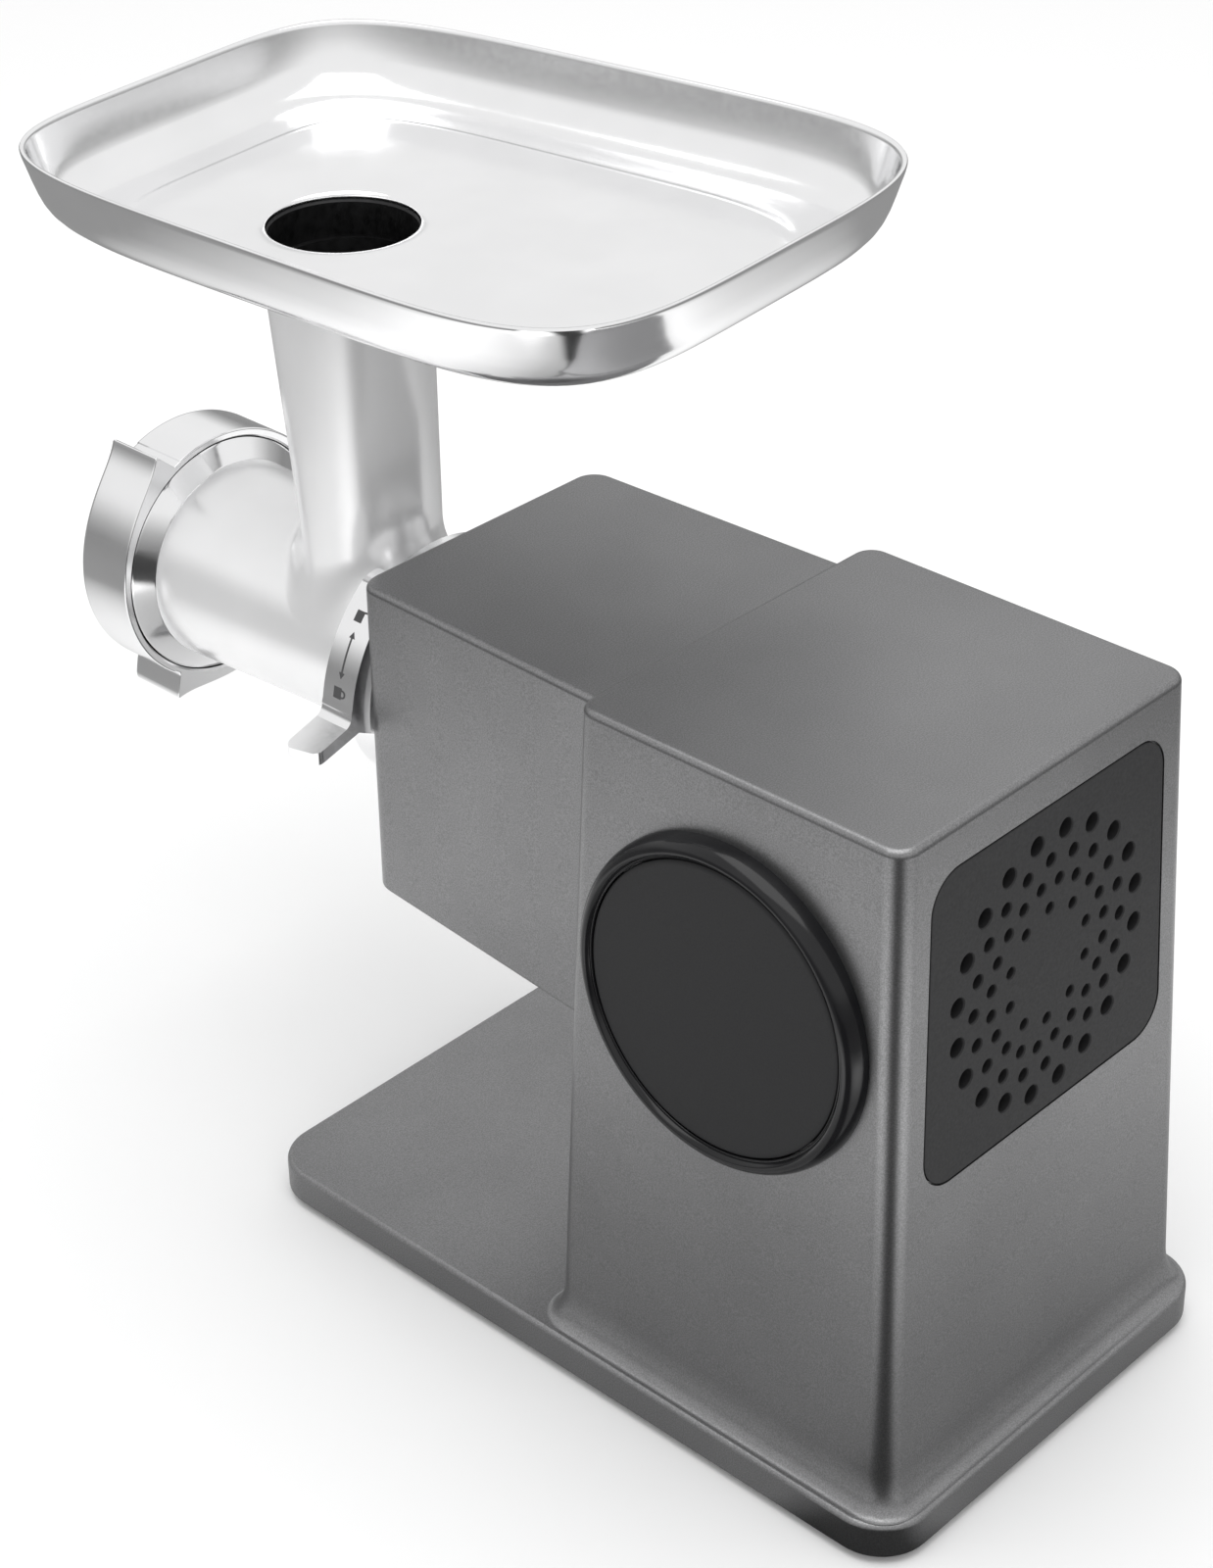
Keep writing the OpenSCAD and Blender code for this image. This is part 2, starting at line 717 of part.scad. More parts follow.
// end turns of the two field coils, on both ends of the stator
module field_coils() {
    color(copper) for (y = [stator_y + 8, stator_y - stator_l]) for (side = [-1, 1])
        difference() {
            rod(stator_r - 8, y, y - 8, 0, motor_z);
            rod(armature_r + 2, y + 1, y - 9, 0, motor_z);
            translate([-60, y - 10, motor_z - 12]) cube([120, 14, 24]);
            translate([-60, y - 10, side > 0 ? motor_z - 60 : motor_z]) cube([120, 14, 60]);
        }
}

module motor_bracket(y, seats) {
    difference() {
        rod(stator_r, y, y - bracket_t, 0, motor_z);
        for (s = seats) rod(s[2], y + 1, y - bracket_t - 1, s[0], s[1]);
        at_bolts() rod(bolt_r, y + 1, y - bracket_t - 1, 0, 0);
    }
}

module front_bracket() {
    color(alloy) motor_bracket(front_bracket_y,
        [[0, motor_z, rotor_seat], [counter_x, counter_z, counter_seat]]);
}

module rear_bracket() {
    color(alloy) motor_bracket(rear_bracket_y, [[0, motor_z, rotor_seat]]);
}

module motor_bolts() {
    color(steel) at_bolts() {
        rod(bolt_r, rear_bracket_y + 3, rear_plate_y, 0, 0);
        rod(4, rear_bracket_y + 3, rear_bracket_y, 0, 0);
        rod(4, front_bracket_y - bracket_t, rear_plate_y, 0, 0);
    }
}

commutator_r = 13;
commutator_l = 12;
module brush_holders() {
    color(copper) for (side = [-1, 1])
        translate([side > 0 ? commutator_r + 0.6 : -commutator_r - 20.6,
                   rear_bracket_y - bracket_t - 10, motor_z - 4]) cube([20, 10, 8]);
}

module rotor_shaft() {
    color(steel) {
        rod(rotor_shaft_r, fan_y + 1, front_bracket_y - bracket_t - 0.5, 0, motor_z);
        rod(pinion_bore, front_bracket_y - bracket_t, first_gear_y - first_width - 1, 0, motor_z);
    }
}

// laminated core with slots for the windings
module armature() {
    color(steel) difference() {
        rod(armature_r, stator_y, stator_y - stator_l, 0, motor_z);
        rod(rotor_shaft_r, stator_y + 1, stator_y - stator_l - 1, 0, motor_z);
        for (a = [0 : 30 : 330])
            translate([(armature_r - 2) * cos(a), 0, motor_z + (armature_r - 2) * sin(a)])
                rod(2.5, stator_y + 1, stator_y - stator_l - 1, 0, 0);
    }
}

module commutator() {
    color(copper) difference() {
        rod(commutator_r, rear_bracket_y - bracket_t - 0.5,
            rear_bracket_y - bracket_t - 0.5 - commutator_l, 0, motor_z);
        rod(rotor_shaft_r, rear_bracket_y, stator_y, 0, motor_z);
    }
}

fan_r = 38;
module cooling_fan() {
    color(dark) difference() {
        union() {
            rod(fan_r, fan_y, fan_y - 2, 0, motor_z);
            rod(10, fan_y, fan_y - fan_t, 0, motor_z);
            for (a = [0 : 36 : 324]) along_axis(fan_y - 1, motor_z) rotate(a)
                translate([9, -1, 0]) cube([fan_r - 9, 2, fan_t - 1]);
        }
        rod(rotor_shaft_r, fan_y + 1, fan_y - fan_t - 1, 0, motor_z);
    }
}

// ---------- collar and locking ring ----------

spigot_r = bore_r + spigot_wall;
collar_r = spigot_r + slide_gap + collar_wall;
collar_bore_cut = spigot_r + 4;
collar_flange_r = collar_r + 10.2;
collar_flange_t = 3;
collar_rear_y = block_y + 30;
spigot_y = block_y + spigot_l - 27.4;
socket_y = spigot_y + 0.8;
screw_angles = [45 : 90 : 315];
screw_r = 2;
screw_head_r = 3.6;
screw_ring_r = (collar_r + collar_flange_r) / 2 - 0.4;

module on_collar(a) {
    translate([screw_ring_r * cos(a), block_y, axis_z + screw_ring_r * sin(a)]) children();
}

module mounting_collar() {
    color(alloy) difference() {
        union() {
            rod(collar_r, block_y, collar_front_y);
            rod(collar_flange_r, block_y, block_y - collar_flange_t);
            rod(collar_bore_cut - 0.2, collar_rear_y, block_y - 1);
        }
        rod(spigot_r + slide_gap, spigot_y + 0.6, collar_front_y - 1);
        rod(socket_r + run_gap, collar_rear_y + 1, block_y - 1);
        for (a = screw_angles) on_collar(a) rod(screw_r, 10, -10, 0, 0);
    }
}

module collar_screws() {
    color(steel) for (a = screw_angles) on_collar(a) {
        rod(screw_r, 8, -collar_flange_t, 0, 0);
        rod(screw_head_r, -collar_flange_t, -collar_flange_t - 1.2, 0, 0);
    }
}

lock_rear_y = block_y - collar_flange_t - 1.6;
lock_front_y = lock_rear_y - lock_l;
lock_lip_t = 2.6;
lock_hub_r = collar_r + slide_gap + lock_wall;
strap_r = lock_hub_r + strap_rise;
collar_front_y = lock_front_y + lock_lip_t + 0.4;
tab_angle = 3;        // place of the tab's root round the ring, in degrees
strap_end = 50;       // where the strap starts to run down to the hub
strap_out = 76;       // where the strap meets the hub
tab_droop = 15;       // slope of the tab below the horizontal, in degrees

// section of the strap: an arc at full radius that runs down to the hub, with the tab at its foot
module strap_profile() {
    root = strap_r * [cos(tab_angle), sin(tab_angle)];
    out = [cos(-tab_droop), sin(-tab_droop)];
    down = [out.y, -out.x];
    polygon(concat(
        [[lock_hub_r - 4, -8], root + down * tab_t - out * 2, root + out * tab_l + down * tab_t,
         root + out * tab_l, root + out * 1.5],
        [for (a = [tab_angle + 2 : 4 : strap_end]) strap_r * [cos(a), sin(a)]],
        [for (i = [1 : 8]) let (a = strap_end + (strap_out - strap_end) * i / 8)
            (strap_r - (strap_r - lock_hub_r + 1) * (1 - cos(180 * i / 8)) / 2)
            * [cos(a), sin(a)]],
        [(lock_hub_r - 4) * [cos(60), sin(60)], (lock_hub_r - 4) * [cos(30), sin(30)]]));
}

strap_front_y = lock_rear_y - strap_w;
module locking_ring() {
    color(alloy) difference() {
        union() {
            rod(lock_hub_r, lock_rear_y, lock_front_y);
            along_axis(strap_front_y + strap_w, axis_z) linear_extrude(strap_w) strap_profile();
        }
        rod(collar_r + slide_gap, lock_rear_y + 20, lock_front_y + lock_lip_t);
        rod(barrel_r + 0.4, block_y, lock_front_y - 1);
    }
}

// ---------- head ----------

barrel_r = bore_r + barrel_wall;
tube_r = tube_bore_r + tube_wall;
mouth_bore_r = tube_bore_r + 0.4;
mouth_ring_h = 14;
thread_r = plate_r + slide_gap + thread_wall;
barrel_front_r = thread_r - barrel_step;
tube_y = lock_front_y - tube_gap - tube_r;
tube_mouth = axis_z + tube_rise;
thread_y = tube_y - tube_r - barrel_nose;
thread_end_y = thread_y - thread_l;
shoulder_y = lock_front_y - 0.6;
barrel_cone_l = 5;
plate_seat = plate_t - 1;
plate_back_y = thread_end_y + plate_seat;
knife_room_y = plate_back_y + knife_t + 1;
rear_wall_t = 12;
journal_r = 11;

// the round tube, with a front wall that leans back towards its foot
module feed_tube(r, low, high) {
    intersection() {
        translate([0, tube_y, low]) cylinder(h = high - low, r = r);
        translate([0, tube_y + 2.1, tube_mouth]) rotate([tube_lean, 0, 0])
            translate([0, 0, -240]) cylinder(h = 300, r = r + 0.7);
    }
}

module head_casting() {
    color(alloy) difference() {
        union() {
            rod(spigot_r, spigot_y, shoulder_y - 2);
            rod(barrel_r, shoulder_y, thread_y + barrel_cone_l, r_end = barrel_front_r);
            rod(barrel_front_r, thread_y + barrel_cone_l + eps, thread_y, r_end = thread_r);
            rod(thread_r, thread_y + eps, thread_end_y);
            feed_tube(tube_r, axis_z, tube_mouth - mouth_ring_h + 4);
            translate([0, tube_y, tube_mouth - mouth_ring_h]) cylinder(h = mouth_ring_h, r = tube_r);
        }
        rod(bore_r, spigot_y - rear_wall_t, thread_end_y - 1);
        rod(journal_r + run_gap, spigot_y + 1, spigot_y - 20);
        rod(plate_r - 2, knife_room_y, thread_end_y - 1);
        rod(plate_r + slide_gap, plate_back_y, thread_end_y - 1);
        feed_tube(tube_bore_r, axis_z, tube_mouth - mouth_ring_h + 5);
        translate([0, tube_y, tube_mouth - mouth_ring_h])
            cylinder(h = mouth_ring_h + 1, r = mouth_bore_r);
    }
    color(alloy) translate([-plate_key_w / 2, thread_end_y, axis_z - plate_r - 1])
        cube([plate_key_w, plate_seat, 3]);
}
plate_key_w = 4;

auger_rear_y = spigot_y - rear_wall_t - 1.4;
auger_front_y = knife_room_y + 1;
auger_core_r = 13;
auger_r = bore_r - auger_gap;
square_w = 11;
pin_r = 6;

flight_root = 7;      // thickness of the flight at the core
flight_tip = 3;       // thickness of the flight at its edge

// the helical flight, swept with four points every 15 degrees
module flight(length) {
    steps = floor(length / auger_pitch * 24);
    section = [[auger_core_r - 2.5, 0], [auger_r, (flight_root - flight_tip) / 2],
               [auger_r, (flight_root + flight_tip) / 2], [auger_core_r - 2.5, flight_root]];
    pts = [for (i = [0 : steps]) let (a = i * 15, rise = auger_pitch * i / 24) for (p = section)
        [p[0] * cos(a), p[0] * sin(a), rise + p[1]]];
    sides = [for (i = [0 : steps - 1]) for (j = [0 : 3])
        [4 * i + j, 4 * i + (j + 1) % 4, 4 * i + 4 + (j + 1) % 4, 4 * i + 4 + j]];
    polyhedron(pts, concat([[3, 2, 1, 0]], sides, [[for (j = [0 : 3]) 4 * steps + j]]), convexity = 10);
}

module auger() {
    color(alloy) {
        hex_rod(drive_flats, spigot_y + 15, spigot_y - 2);
        rod(journal_r, spigot_y - 0.4, auger_rear_y - 2);
        rod(auger_core_r, auger_rear_y, knife_back_y);
        along_axis(auger_rear_y - 1, axis_z) flight(auger_rear_y - 1 - auger_front_y - flight_root);
        translate([-square_w / 2, knife_back_y - knife_t, axis_z - square_w / 2])
            cube([square_w, knife_t + eps, square_w]);
        rod(pin_r, knife_back_y - knife_t + eps, thread_end_y + 1.4);
    }
}
knife_back_y = plate_back_y + face_gap + knife_t;

module auger_washer() {
    color(nylon) difference() {
        rod(journal_r + 6, auger_rear_y + 1.3, auger_rear_y);
        rod(journal_r, auger_rear_y + 2, auger_rear_y - 1);
    }
}

knife_r = plate_r - 4;

// four blades that sweep against the hole plate
module cross_knife() {
    color(steel) difference() {
        union() {
            rod(12, knife_back_y, knife_back_y - knife_t);
            for (a = [0 : 90 : 270]) along_axis(knife_back_y, axis_z) rotate(a)
                linear_extrude(knife_t) polygon([[0, -6], [knife_r - 9, -6], [knife_r - 1, -2],
                                                 [knife_r, 3], [knife_r - 3, 4], [0, 7]]);
        }
        translate([-square_w / 2 - 0.1, knife_back_y - knife_t - 1, axis_z - square_w / 2 - 0.1])
            cube([square_w + 0.2, knife_t + 2, square_w + 0.2]);
    }
}

plate_hole_pitch = 3.8 * plate_hole_r;
// the plate's holes in four rings between its middle and its rim, as [count, ring radius]
plate_rings = [for (r = [13 : (plate_r - 21) / 3 : plate_r - 7.9]) [floor(2 * PI * r / plate_hole_pitch), r]];
module hole_plate() {
    color(steel) difference() {
        rod(plate_r, plate_back_y, plate_back_y - plate_t);
        rod(pin_r + run_gap, plate_back_y + 1, plate_back_y - plate_t - 1);
        for (g = plate_rings) for (i = [0 : g[0] - 1]) let (a = 360 * (i + 0.5) / g[0])
            translate([g[1] * cos(a), 0, axis_z + g[1] * sin(a)])
                rod(plate_hole_r, plate_back_y + 1, plate_back_y - plate_t - 1, 0, 0, $fn = 24);
        translate([-plate_key_w / 2 - 0.3, plate_back_y - plate_t - 1, axis_z - plate_r - 2])
            cube([plate_key_w + 0.6, plate_t + 2, 4.3]);
    }
}

// radius of the ring at an angle before a lobe's tip: a hollow run-out, then a step
lobe_step = 4;
thread_gap = 0.5;     // between the threaded end and the ring's bore
ring_r = thread_r + thread_gap + ring_wall;
ring_tip_r = ring_r + lobe_h;
function lobe(before) =
    before > 120 - lobe_step
        ? ring_r + (ring_tip_r - ring_r) * pow((before - 120 + lobe_step) / lobe_step, 2)
        : ring_r + (ring_tip_r - ring_r) * (1 - before / (120 - lobe_step)) / pow(1 + before / 12, 1.1);

ring_rear_y = thread_y + 0.8;
ring_front_y = ring_rear_y - ring_l;
ring_lip_y = plate_back_y - plate_t - face_gap;
ring_mouth_r = plate_r - 4;
module screw_ring() {
    color(alloy) difference() {
        along_axis(ring_rear_y, axis_z) linear_extrude(ring_l) polygon(
            [for (t = [60, 180, 300]) for (d = [0 : 4 : 116]) let (a = t - 120 + lobe_step + d)
                lobe(120 - lobe_step - d) * [cos(a), sin(a)]]);
        rod(thread_r + thread_gap, ring_rear_y + 1, ring_lip_y);
        rod(ring_mouth_r, ring_rear_y, ring_front_y - 1);
    }
}

// ---------- tray ----------

tray_floor = tube_mouth + tray_wall;
tray_rim = tray_floor + tray_depth - tray_wall;
tray_hole_r = mouth_bore_r + 0.3;
tray_square = 4.9;          // squareness of the plan's corners, as a superellipse's power
tray_square_change = 0.4;   // taken off it at the rear and added at the front

// plan of the tray: bowed sides, wider and squarer at the rear, inset all round
function tray_plan(inset) = [for (i = [0 : 71]) let (t = i * 5, c = cos(t), s = sin(t))
    let (power = 2 / (tray_square - tray_square_change * s))
    let (y = (tray_l / 2 - inset) * sign(s) * pow(abs(s), power))
    let (x = (tray_w / 2 - inset) * sign(c) * pow(abs(c), power) * (1 + tray_taper * 2 * y / tray_l))
    [tray_x + x * cos(tray_turn) - y * sin(tray_turn),
     tube_y + tray_back + x * sin(tray_turn) + y * cos(tray_turn)]];

// the pan's wall as [height above the underside of the floor, inset]
tray_profile = [[0, 24], [1.5, 17], [5, 10], [12, 4.5], [tray_depth - 2, 0.6], [tray_depth, 0]];

module feed_tray() {
    low = tray_floor - tray_wall;
    color(alloy) difference() {
        union() {
            loft([for (p = tray_profile) [low + p[0], tray_plan(p[1])]]);
            translate([0, tube_y, low - tray_collar_l])
                cylinder(h = tray_collar_l + 1, r = tube_r + slide_gap + 1.6);
        }
        loft([for (p = tray_profile)
            [low + tray_wall + p[0], tray_plan(p[1] + (p[0] > 4 ? tray_wall : tray_wall / 2))]]);
        translate([0, tube_y, low - tray_collar_l - 1])
            cylinder(h = tray_collar_l + 1, r = tube_r + slide_gap);
        translate([0, tube_y, low - tray_collar_l - 1])
            cylinder(h = tray_collar_l + 20, r = tray_hole_r);
    }
}

body_shell();
gear_housing();
bottom_plate();
feet();
bottom_screws();
vent_panel();
side_bezel();
side_cover();
control_bezel();
control_panel();
selector_switch();
inlet_gland();
motor_stator();
field_coils();
front_bracket();
rear_bracket();
brush_holders();
motor_bolts();
front_gear_plate();
rear_gear_plate();
gear_plate_screws();
gearbox_spacers();
shaft_bearings();
mounting_collar();
collar_screws();
rotor_shaft();
armature();
commutator();
cooling_fan();
motor_pinion();
counter_shaft();
first_gear();
second_pinion();
output_gear();
output_shaft();
locking_ring();
head_casting();
auger();
auger_washer();
cross_knife();
hole_plate();
screw_ring();
feed_tray();
selector_knob();
knob_mark();
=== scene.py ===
"""Electric meat grinder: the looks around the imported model.

Everything is modelled in millimetres in the frame's own axes (+Z up, outlet towards -Y)
and turned into metres when a mesh is made.
"""
import json
import math

import bmesh
import bpy
from mathutils import Matrix, Vector


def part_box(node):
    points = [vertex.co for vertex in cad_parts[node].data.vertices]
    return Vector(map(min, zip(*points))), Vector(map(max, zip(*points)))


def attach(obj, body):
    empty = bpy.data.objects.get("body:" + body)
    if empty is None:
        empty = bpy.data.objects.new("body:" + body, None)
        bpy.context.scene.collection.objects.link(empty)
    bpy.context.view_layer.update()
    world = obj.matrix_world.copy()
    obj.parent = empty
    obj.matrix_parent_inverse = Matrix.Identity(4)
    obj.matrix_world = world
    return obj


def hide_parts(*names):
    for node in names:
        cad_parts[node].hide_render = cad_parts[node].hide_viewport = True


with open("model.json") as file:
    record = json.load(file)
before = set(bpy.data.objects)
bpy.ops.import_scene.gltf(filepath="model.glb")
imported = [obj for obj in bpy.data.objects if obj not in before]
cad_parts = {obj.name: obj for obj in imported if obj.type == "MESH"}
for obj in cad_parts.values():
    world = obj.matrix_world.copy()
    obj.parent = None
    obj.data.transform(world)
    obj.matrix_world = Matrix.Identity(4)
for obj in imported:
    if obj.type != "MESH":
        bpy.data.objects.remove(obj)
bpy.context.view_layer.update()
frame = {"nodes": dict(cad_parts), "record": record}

MM = 0.001
mounts = {m["name"]: m for m in frame["record"]["mounts"]}
joints = {j["name"]: j for j in frame["record"]["behaviour"]["joints"]}


def node_box(name):
    """Lowest and highest corner of a CAD node in millimetres."""
    low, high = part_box(name)
    return Vector(low) / MM, Vector(high) / MM


CORE_R = 0.5    # radius of the small flat that closes a turned profile at its axis

# ---------------------------------------------------------------- places read from the frame

shell_low, shell_high = node_box("body_shell")
block_low, block_high = node_box("gear_housing")
ring_low, ring_high = node_box("screw_ring")
lock_low, lock_high = node_box("locking_ring")
head_low, head_high = node_box("head_casting")
AXIS_Z = joints["auger_turn"]["pos_m"][2] / MM
TUBE_Y = mounts["feed_tube"]["pos_m"][1] / MM
TUBE_MOUTH = head_high.z
PANEL_Y, PANEL_Z = (c / MM for c in joints["knob_turn"]["pos_m"][1:])
GLAND = Vector(mounts["mains_inlet"]["pos_m"]) / MM

# slab and tower
SLAB_Z = shell_low.z
BASE_TOP = SLAB_Z + 13.4
TOWER_TOP = shell_high.z
TOWER_Y = -0.8
TOWER_W, TOWER_L = 146, 131.5
SIDE_DRAFT, BACK_DRAFT, FRONT_DRAFT = 0.034, 0.042, 0.027
EDGE_R, TOP_R, WALL = 8, 2.5, 3
FLARE_H, FLARE_W = 14, 6.5

# gear housing
BLOCK_Y, BLOCK_TOP = block_low.y, block_high.z
BLOCK_W, BLOCK_FRONT_W = 123.6, 116
BLOCK_FRONT_LOW = BLOCK_TOP - 121.6
BLOCK_SLOPE = 6.4 / 115.4
COLLAR_HOLE_R = 37

# head, locking ring and screw ring
BARREL_R, BARREL_FRONT_R, THREAD_R = 34.6, 39.3, 46.5
THREAD_Y = ring_high.y - 0.8
THREAD_END = head_low.y
BORE_R, SHAFT_HOLE_R, SPIGOT_R = 31, 11.1, 33
KNIFE_ROOM_R, KNIFE_ROOM_L = 39, 18
PLATE_SEAT_R, PLATE_SEAT_L = 41.3, 7
TUBE_R, TUBE_BORE_R, MOUTH_BORE_R = 30, 26, 26.4
TUBE_STRAIGHT_L = 14        # length of the round mouth above the leaning front wall
TUBE_LEAN = math.tan(math.radians(6.9))
TUBE_LEAN_SHIFT, TUBE_LEAN_TOP = 2.1, 10
TUBE_FILLET, TUBE_LIP_R = 9, 0.8
LOCK_HUB_R, STRAP_R, STRAP_W = 46.5, 60, 15
COLLAR_R = 39.8
RING_R, RING_TIP_R = 49.6, 59.3

# tray
TRAY_X, TRAY_BACK, TRAY_TURN = -22, 33, math.radians(5.5)
TRAY_W, TRAY_L, TRAY_TAPER = 209, 278, 0.07
TRAY_SQUARE, TRAY_SQUARE_CHANGE = 4.9, 0.4
TRAY_FLOOR, TRAY_WALL = TUBE_MOUTH, 1.8
TRAY_HOLE_R = 26.7
TRAY_SEAT_R, TRAY_COLLAR_WALL, TRAY_COLLAR_L = TUBE_R + 0.3, 1.6, 16

# round panels and vent panel
BEZEL_R, BEZEL_H, COVER_R = 58, 8, 51
VENT_MID, VENT_LOW, VENT_HIGH = SLAB_Z + 186.7, SLAB_Z + 131.4, SLAB_Z + 244.9
VENT_HALF_W, VENT_CORNER = 58.8, 13
VENT_RECESS, VENT_LEDGE = 1.8, 5
# count, ring radius, hole radius and starting angle of each ring of holes
VENT_RINGS = [(20, 46.9, 3.3, 9), (20, 38.2, 2.4, 0), (20, 29.7, 2.2, 9), (10, 20.6, 2.0, 18)]


def tower_half(z):
    return TOWER_W / 2 + SIDE_DRAFT * (TOWER_TOP - z)


def tower_back(z):
    return TOWER_Y + TOWER_L + BACK_DRAFT * (TOWER_TOP - z)


def tower_front(z):
    return TOWER_Y - FRONT_DRAFT * (TOWER_TOP - z)


# ---------------------------------------------------------------- materials


class Nodes:
    """A new material's node tree, with short ways to add and join nodes."""

    def __init__(self, name):
        self.material = bpy.data.materials.new(name)
        self.material.use_nodes = True
        self.tree = self.material.node_tree
        self.shader = self.tree.nodes["Principled BSDF"]

    def add(self, kind, **values):
        node = self.tree.nodes.new("ShaderNode" + kind)
        for key, value in values.items():
            if key in node.inputs:
                node.inputs[key].default_value = value
            else:
                setattr(node, key, value)
        return node

    def join(self, source, target):
        self.tree.links.new(source, target)

    def set(self, **values):
        for key, value in values.items():
            self.shader.inputs[key.replace("_", " ")].default_value = value

    def noise(self, scale, detail=3.0, rough=0.55, stretch=(1, 1, 1)):
        """Noise over the object's own coordinates, in millimetres, through a stretch."""
        place = self.add("TexCoord")
        mapping = self.add("Mapping")
        mapping.inputs["Scale"].default_value = [s / MM for s in stretch]
        self.join(place.outputs["Object"], mapping.inputs["Vector"])
        noise = self.add("TexNoise", Scale=scale, Detail=detail, Roughness=rough)
        self.join(mapping.outputs["Vector"], noise.inputs["Vector"])
        return noise.outputs["Fac"]

    def ramp(self, fac, stops):
        ramp = self.add("ValToRGB")
        elements = ramp.color_ramp.elements
        for element, (at, grey) in zip(elements, stops):
            element.position = at
            element.color = (*grey, 1) if isinstance(grey, tuple) else (grey, grey, grey, 1)
        self.join(fac, ramp.inputs["Fac"])
        return ramp.outputs["Color"]

    def product(self, a, b):
        both = self.add("Math", operation="MULTIPLY")
        self.join(a, both.inputs[0])
        self.join(b, both.inputs[1])
        return both.outputs["Value"]

    def sector(self, place, corner, middle, spread, values):
        """A value that runs from one to another away from a direction in plan, in degrees."""
        split = self.add("SeparateXYZ")
        moved = self.add("VectorMath", operation="SUBTRACT")
        self.join(place, moved.inputs[0])
        moved.inputs[1].default_value = (*corner, 0)
        self.join(moved.outputs["Vector"], split.inputs["Vector"])
        angle = self.add("Math", operation="ARCTAN2")
        self.join(split.outputs["Y"], angle.inputs[0])
        self.join(split.outputs["X"], angle.inputs[1])
        turned = self.add("Math", operation="SUBTRACT")
        self.join(angle.outputs["Value"], turned.inputs[0])
        turned.inputs[1].default_value = math.radians(middle)
        size = self.add("Math", operation="ABSOLUTE")
        self.join(turned.outputs["Value"], size.inputs[0])
        value = self.add("MapRange")
        self.join(size.outputs["Value"], value.inputs["Value"])
        limits = (math.radians(spread[0]), math.radians(spread[1]), *values)
        for socket, number in zip(("From Min", "From Max", "To Min", "To Max"), limits):
            value.inputs[socket].default_value = number
        return value.outputs["Result"]

    def falloff(self, place, centre, reach, values):
        """A value that runs from one to another over a range of distances from a point, in metres."""
        away = self.add("VectorMath", operation="DISTANCE")
        self.join(place, away.inputs[0])
        away.inputs[1].default_value = centre
        value = self.add("MapRange")
        self.join(away.outputs["Value"], value.inputs["Value"])
        for socket, number in zip(("From Min", "From Max", "To Min", "To Max"), (*reach, *values)):
            value.inputs[socket].default_value = number
        return value.outputs["Result"]

    def bump(self, fac, strength, distance, under=None):
        bump = self.add("Bump", Strength=strength, Distance=distance)
        self.join(fac, bump.inputs["Height"])
        if under:
            self.join(under, bump.inputs["Normal"])
        self.join(bump.outputs["Normal"], self.shader.inputs["Normal"])
        return bump.outputs["Normal"]


def paint():
    """Satin metallic paint: fine flakes, a soft cloudiness and a thin orange peel."""
    n = Nodes("metallic_paint")
    flake = n.noise(2.0, 2, 0.6)
    cloud = n.noise(0.02, 3)
    tone = n.ramp(flake, [(0.36, (0.215, 0.215, 0.218)), (0.66, (0.31, 0.31, 0.314))])
    drift = n.ramp(cloud, [(0.3, 0.90), (0.7, 1.0)])
    mix = n.add("Mix", data_type="RGBA", blend_type="MULTIPLY")
    mix.inputs["Factor"].default_value = 1
    n.join(tone, mix.inputs["A"])
    n.join(drift, mix.inputs["B"])
    n.join(mix.outputs["Result"], n.shader.inputs["Base Color"])
    n.join(n.ramp(flake, [(0.3, 0.38), (0.7, 0.33)]), n.shader.inputs["Roughness"])
    peel = n.bump(n.noise(0.45, 2), 0.05, 0.0003)
    n.bump(flake, 0.05, 0.0002, peel)
    n.set(Metallic=0.95)
    return n.material


def moulded(name, tone, roughness, grain=0.9, strength=0.12, specular=0.5):
    """Moulded plastic with a fine spark-eroded grain."""
    n = Nodes(name)
    grains = n.noise(grain, 4, 0.6)
    low = tuple(c * 0.86 for c in tone)
    n.join(n.ramp(grains, [(0.3, low), (0.7, tone)]), n.shader.inputs["Base Color"])
    n.join(n.ramp(grains, [(0.3, roughness + 0.05), (0.7, roughness - 0.05)]), n.shader.inputs["Roughness"])
    n.bump(grains, strength, 0.0002)
    n.set(Specular_IOR_Level=specular)
    return n.material


def gloss_black():
    """Gloss lacquer with a faint waviness."""
    n = Nodes("gloss_black")
    wave = n.noise(0.05, 2)
    n.join(n.ramp(wave, [(0.3, (0.006, 0.006, 0.007)), (0.7, (0.011, 0.011, 0.012))]),
           n.shader.inputs["Base Color"])
    n.bump(wave, 0.04, 0.0005)
    n.set(Roughness=0.14, Specular_IOR_Level=0.35)
    return n.material


def metal(name, tone, roughness, spread=0.02, lines=(1, 1, 1), scale=0.35, strength=0.03, metallic=1.0):
    """Bare metal whose polish varies along the given stretch of the grain."""
    n = Nodes(name)
    grain = n.noise(scale, 4, 0.6, lines)
    cloud = n.noise(0.03, 2)
    low = tuple(c * 0.97 for c in tone)
    n.join(n.ramp(cloud, [(0.35, low), (0.65, tone)]), n.shader.inputs["Base Color"])
    n.join(n.ramp(grain, [(0.3, roughness - spread), (0.7, roughness + spread)]),
           n.shader.inputs["Roughness"])
    n.bump(grain, strength, 0.0001)
    n.set(Metallic=metallic)
    return n.material


